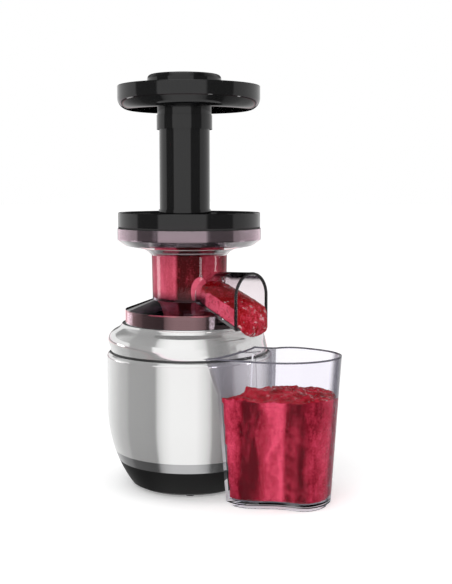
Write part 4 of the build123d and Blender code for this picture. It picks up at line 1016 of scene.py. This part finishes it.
def wetted(normal):
    """How far a point of the puree's side moves out."""
    return normal * WETTING if abs(normal.z) < SIDE_NORMAL else Vector()


JUG_CELL = 1.6 * MM
# the heap on the jug's puree: its height, and the heights over which its ripples set in
HEAP_HEIGHT = 9.0 * MM
HEAP_FOOT = 4.0 * MM
HEAP_BLEND = 6.0 * MM
HEAP_RIPPLE = 2.6 * MM
# the widths of its broad and fine lumps, their shares of the ripple and how far it lies lower
HEAP_LUMPS = (22.0 * MM, 6.0 * MM)
HEAP_BROAD = 1.1
HEAP_FINE = 0.8
HEAP_SINK = 0.9
# the wet top's faces: how upright their normals are, and how far below the heap they reach
TOP_NORMAL = 0.35
TOP_REACH = 6.0 * MM


def make_jug_puree():
    """The jug's contents: even along the wall, heaped and torn on top."""
    low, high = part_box("puree_in_jug")
    rest = high.z - HEAP_HEIGHT
    piece = remeshed("puree_in_jug", "jug_puree", JUG_CELL)

    def offset(place, normal):
        top = clamped((place.z - rest + HEAP_FOOT) / HEAP_BLEND)
        broad = lumps(place, HEAP_LUMPS[0], seed=3.1)
        fine = lumps(place, HEAP_LUMPS[1], seed=8.4)
        rise = broad * HEAP_BROAD + fine * HEAP_FINE - HEAP_SINK
        return Vector((0.0, 0.0, rise * HEAP_RIPPLE * top)) + wetted(normal)

    shifted(piece, offset)
    kept_inside(piece, low, high, (2,))
    settle(piece, [wall_puree, wet_puree], "jug_set", "puree", "puree_in_jug")
    piece.visible_glossy = False
    for face in piece.data.polygons:
        if face.normal.z > TOP_NORMAL and face.center.z > rest - TOP_REACH:
            face.material_index = 1


DRUM_CELL = 1.2 * MM
# what a place is multiplied by to leave its distance from the main axis
FLAT = Vector((1.0, 1.0, 0.0))


def make_drum_puree():
    """The puree between the strainer and the drum's wall, which only its outside wets."""
    piece = remeshed("puree_in_bowl", "drum_puree", DRUM_CELL)

    def offset(place, normal):
        return wetted(normal) if normal.dot(place * FLAT) > 0.0 else Vector()

    shifted(piece, offset)
    settle(piece, [drum_puree], "bowl_set", "puree", "puree_in_bowl")


STRAND_CELL = 1.0 * MM
STRAND_RELAXING = 16
STRAND_DEPTH = 1.0 * MM
# the widths of its broad and fine lumps, their shares of the depth and how far it lies lower
STRAND_LUMPS = (16.0 * MM, 3.5 * MM)
STRAND_BROAD = 0.7
STRAND_FINE = 0.3
STRAND_SINK = 0.7
# how steeply the lumps set in as the strand's surface turns up, and beyond the mouth
FREE_GAIN = 1.6
FREE_START = 2.0 * MM
FREE_BLEND = 6.0 * MM
# how far the strand swells, and how far below its highest point that begins to halve
SWELLING = 0.5 * MM
CREST_DEPTH = 4.0 * MM
CREST_BLEND = 3.0 * MM


def make_spout_puree():
    """The strand that slides down the spout and hangs over its lip."""
    low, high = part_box("puree_strand")
    piece = remeshed("puree_strand", "spout_puree", STRAND_CELL, STRAND_RELAXING)
    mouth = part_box("bowl")[0].y
    crest = high.z - CREST_DEPTH

    def offset(place, normal):
        out = clamped((mouth + FREE_START - place.y) / FREE_BLEND)
        free = max(min(max(normal.z, 0.0) * FREE_GAIN, 1.0), out)
        broad = lumps(place, STRAND_LUMPS[0], seed=1.7)
        fine = lumps(place, STRAND_LUMPS[1], seed=6.6)
        swell = SWELLING * (1.0 - clamped((place.z - crest) / CREST_BLEND) * 0.5)
        rise = broad * STRAND_BROAD + fine * STRAND_FINE - STRAND_SINK
        return normal * (rise * STRAND_DEPTH * free + swell)

    shifted(piece, offset)
    kept_inside(piece, low, high, (0, 1, 2))
    settle(piece, [strand_puree], "bowl_set", "puree", "puree_strand")
    piece.visible_glossy = False


# ------------------------------------------------------------------ studio
CARD_STEPS = 96
# the cards' dome: radius and height of each ring
CARD_RINGS = [(1.5, -2.4), (1.5, 2.4), (0.9, 3.6), (0.05, 4.2)]
# the height that the cards are laid out from: a rounded shoulder there shows them upright
CARD_MIDDLE = 0.15
# heights between which the cards change to the drum's strip lights and from them
DRUM_STAGE = (0.0, 0.015, 0.135, 0.145)
# heights between which the cards change back to the low ones
TOP_STAGE = (0.6, 0.66)
# the cards' direction, from 1 at the camera's side to -1: where they go dark straight behind
BEHIND = (-0.94, -0.97)
# where the topmost ones, which only upward slopes reflect, go darker behind, and by how much
BACK_STAGE = (-0.5, -0.8)
BACK_DIMMING = 0.8
# tints of the cards by height: warm at the skirt's, purple at the cup's
PLAIN = (1.0, 1.0, 1.0)
WARM = (1.12, 0.68, 0.72)
PURPLE = (1.22, 0.97, 1.07)
TINT_SPAN = (-0.1, 0.3)
CARD_TINTS = [
    (-0.055, PLAIN), (-0.04, WARM), (0.0, WARM), (0.01, PLAIN),
    (0.142, PLAIN), (0.147, PURPLE), (0.195, PURPLE), (0.2, PLAIN),
]
# levels of the cards by angle to the right of the camera, in degrees: low down and at the top
LOW_CARDS = [
    (-180.0, 0.95), (-144.0, 0.95), (-123.0, 0.69), (-107.0, 0.44), (-94.0, 0.34), (-88.0, 0.19),
    (-46.5, 0.13), (-43.0, 0.6), (-35.0, 0.87), (-25.0, 1.02), (8.0, 1.02), (21.0, 0.76),
    (27.0, 0.55), (29.5, 0.18), (45.0, 0.08), (58.0, 0.13), (64.0, 0.36), (93.0, 0.6),
    (101.0, 0.74), (121.0, 0.65), (150.0, 0.9), (180.0, 0.95),
]
# the strip lights at the drum's height, to be multiplied by the gain
DRUM_CARDS = [
    (-180.0, 0.06), (-150.0, 0.05), (-119.0, 0.02), (-115.0, 0.55), (-103.0, 0.55), (-98.0, 0.01),
    (29.0, 0.01), (31.0, 0.7), (36.5, 0.7), (38.0, 0.01), (82.0, 0.01), (84.0, 0.8),
    (88.5, 0.8), (90.0, 0.02), (150.0, 0.05), (180.0, 0.06),
]
STRIP_GAIN = 7.5
# between the strip lights and the topmost cards
HIGH_CARDS = [
    (-180.0, 0.9), (-150.0, 0.9), (-91.0, 0.85), (-87.0, 0.18), (-51.0, 0.18), (-48.0, 1.0),
    (25.0, 1.0), (29.0, 0.18), (71.0, 0.18), (74.0, 0.7), (120.0, 0.8), (180.0, 0.9),
]


def card_levels(tree, share, levels):
    """A ramp of the cards' levels, by their share of the way round."""
    return tree.ramp(share, [((angle + 180.0) / 360.0, level) for angle, level in levels])


def card_material():
    """Bright softboxes with dark gaps between, which only reflections see."""
    made, tree, output = material("studio_cards")
    place = tree.add("NewGeometry").outputs["Position"]
    up = tree.parts(place)[2]
    away = tree.vector("SUBTRACT", place, (0.0, 0.0, CARD_MIDDLE))
    away = tree.add("VectorMath", {0: away}, operation="NORMALIZE").outputs[0]
    facing = math.radians(EYE_AZIMUTH)
    along = tree.dot(away, (math.cos(facing), math.sin(facing), 0.0))
    across = tree.dot(away, (-math.sin(facing), math.cos(facing), 0.0))
    turn = tree.math("ARCTAN2", across, tree.math("ADD", along, 1.0))
    share = tree.math("ADD", tree.math("DIVIDE", turn, math.pi), 0.5)

    low = card_levels(tree, share, LOW_CARDS)
    strips = tree.scaled(card_levels(tree, share, DRUM_CARDS), STRIP_GAIN)
    shown = tree.inverse(tree.step(along, *BEHIND))
    high = tree.scaled(card_levels(tree, share, HIGH_CARDS), shown)
    dimmed = tree.inverse(tree.product(tree.step(along, *BACK_STAGE), BACK_DIMMING))
    level = tree.mix(tree.step(up, *DRUM_STAGE[:2]), low, strips)
    level = tree.mix(tree.step(up, *DRUM_STAGE[2:]), level, high)
    level = tree.mix(tree.step(up, *TOP_STAGE), level, tree.scaled(low, dimmed))

    bottom, top = TINT_SPAN
    height = tree.add("MapRange", {0: up, 1: bottom, 2: top}).outputs[0]
    tint = tree.ramp(height, [((at - bottom) / (top - bottom), tone) for at, tone in CARD_TINTS])
    glow = tree.add("Emission", {0: tree.vector("MULTIPLY", level, tint), "Strength": 1.0})
    bounced = tree.math("GREATER_THAN", tree.add("LightPath").outputs["Glossy Depth"], 0.5)
    blend = tree.add("MixShader", {0: bounced})
    tree.put(tree.add("BsdfTransparent"), blend.inputs[1])
    tree.put(glow, blend.inputs[2])
    tree.put(blend, output.inputs[0])
    return made


def make_cards():
    """The dome of studio cards round the juicer."""
    bm = bmesh.new()
    rows = [
        [
            bm.verts.new(on_circle(360.0 * i / CARD_STEPS, radius, height))
            for i in range(CARD_STEPS)
        ]
        for radius, height in CARD_RINGS
    ]
    for lower, upper in zip(rows, rows[1:]):
        for i in range(CARD_STEPS):
            j = (i + 1) % CARD_STEPS
            bm.faces.new((lower[i], lower[j], upper[j], upper[i]))
    mesh = bpy.data.meshes.new("studio_cards")
    bm.to_mesh(mesh)
    bm.free()
    mesh.materials.append(card_material())
    cards = in_scene("studio_cards", mesh)
    for ray in ("camera", "diffuse", "shadow", "volume_scatter"):
        setattr(cards, "visible_" + ray, False)


# the floor's half width, and its own glow near the juicer and from far away
FLOOR_REACH = 12.0
NEAR_GLOW = 0.26
FAR_GLOW = 0.5
# distances from the axis between which the glow changes
GLOW_STAGE = (0.3, 2.0)


def make_floor():
    """A plain white floor that keeps a soft shadow."""
    made, tree, output = material("floor_white")
    shader = tree.add("BsdfPrincipled", {"Base Color": grey(0.93), "Roughness": 0.9})
    shader.inputs["Emission Color"].default_value = grey(1.0)
    rays = tree.add("LightPath").outputs
    seen = tree.largest(rays["Is Camera Ray"], rays["Is Transmission Ray"])
    away = tree.add("VectorMath", {0: tree.place()}, operation="LENGTH").outputs["Value"]
    glow = tree.level(tree.step(away, *GLOW_STAGE), NEAR_GLOW, FAR_GLOW)
    tree.put(tree.product(seen, glow), shader.inputs["Emission Strength"])
    tree.put(shader, output.inputs[0])
    mesh = bpy.data.meshes.new("floor")
    height = cad_box[0].z
    corners = [(-1.0, -1.0), (1.0, -1.0), (1.0, 1.0), (-1.0, 1.0)]
    mesh.from_pydata(
        [(x * FLOOR_REACH, y * FLOOR_REACH, height) for x, y in corners], [], [(0, 1, 2, 3)],
    )
    mesh.materials.append(made)
    floor = in_scene("floor", mesh)
    floor.visible_glossy = False


# how bright the world is where it lights matt surfaces
FILL = 0.55


def make_world():
    """White all round; the part of it that lights matt surfaces is softer."""
    world = bpy.data.worlds.new("studio")
    world.use_nodes = True
    bpy.context.scene.world = world
    tree = Tree(world.node_tree)
    rays = tree.add("LightPath").outputs
    seen = tree.largest(rays["Is Camera Ray"], rays["Is Glossy Ray"], rays["Is Transmission Ray"])
    glow = tree.add("Background", {0: grey(1.0), 1: tree.level(seen, FILL, 1.0)})
    tree.put(glow, tree.add("OutputWorld").inputs[0])


# the place on the axis that the lamps face
LAMP_AIM = Vector((0.0, 0.0, 0.2))


def softbox(name, azimuth, height, distance, size, power):
    """A lamp that faces the juicer's middle and doesn't show in reflections.

    azimuth is in degrees from the camera's own; power is in watts.
    """
    lamp = bpy.data.lights.new(name, "AREA")
    lamp.shape = "RECTANGLE"
    lamp.size, lamp.size_y = size
    lamp.energy = power
    holder = in_scene(name, lamp)
    holder.location = on_circle(EYE_AZIMUTH + azimuth, distance, height)
    point_along(holder, LAMP_AIM - holder.location)
    holder.visible_glossy = False


bpy.context.scene.view_settings.view_transform = "Standard"
place_camera()
make_world()
make_floor()
make_cards()
softbox("key_softbox", azimuth=-15.0, height=0.9, distance=1.6, size=(1.2, 1.2), power=16.0)
softbox("side_softbox", azimuth=100.0, height=0.7, distance=1.6, size=(0.8, 1.2), power=8.0)
softbox("top_softbox", azimuth=-60.0, height=1.8, distance=0.6, size=(1.0, 1.0), power=8.0)

finish_nodes()
make_lips()
make_jug_puree()
make_drum_puree()
make_spout_puree()
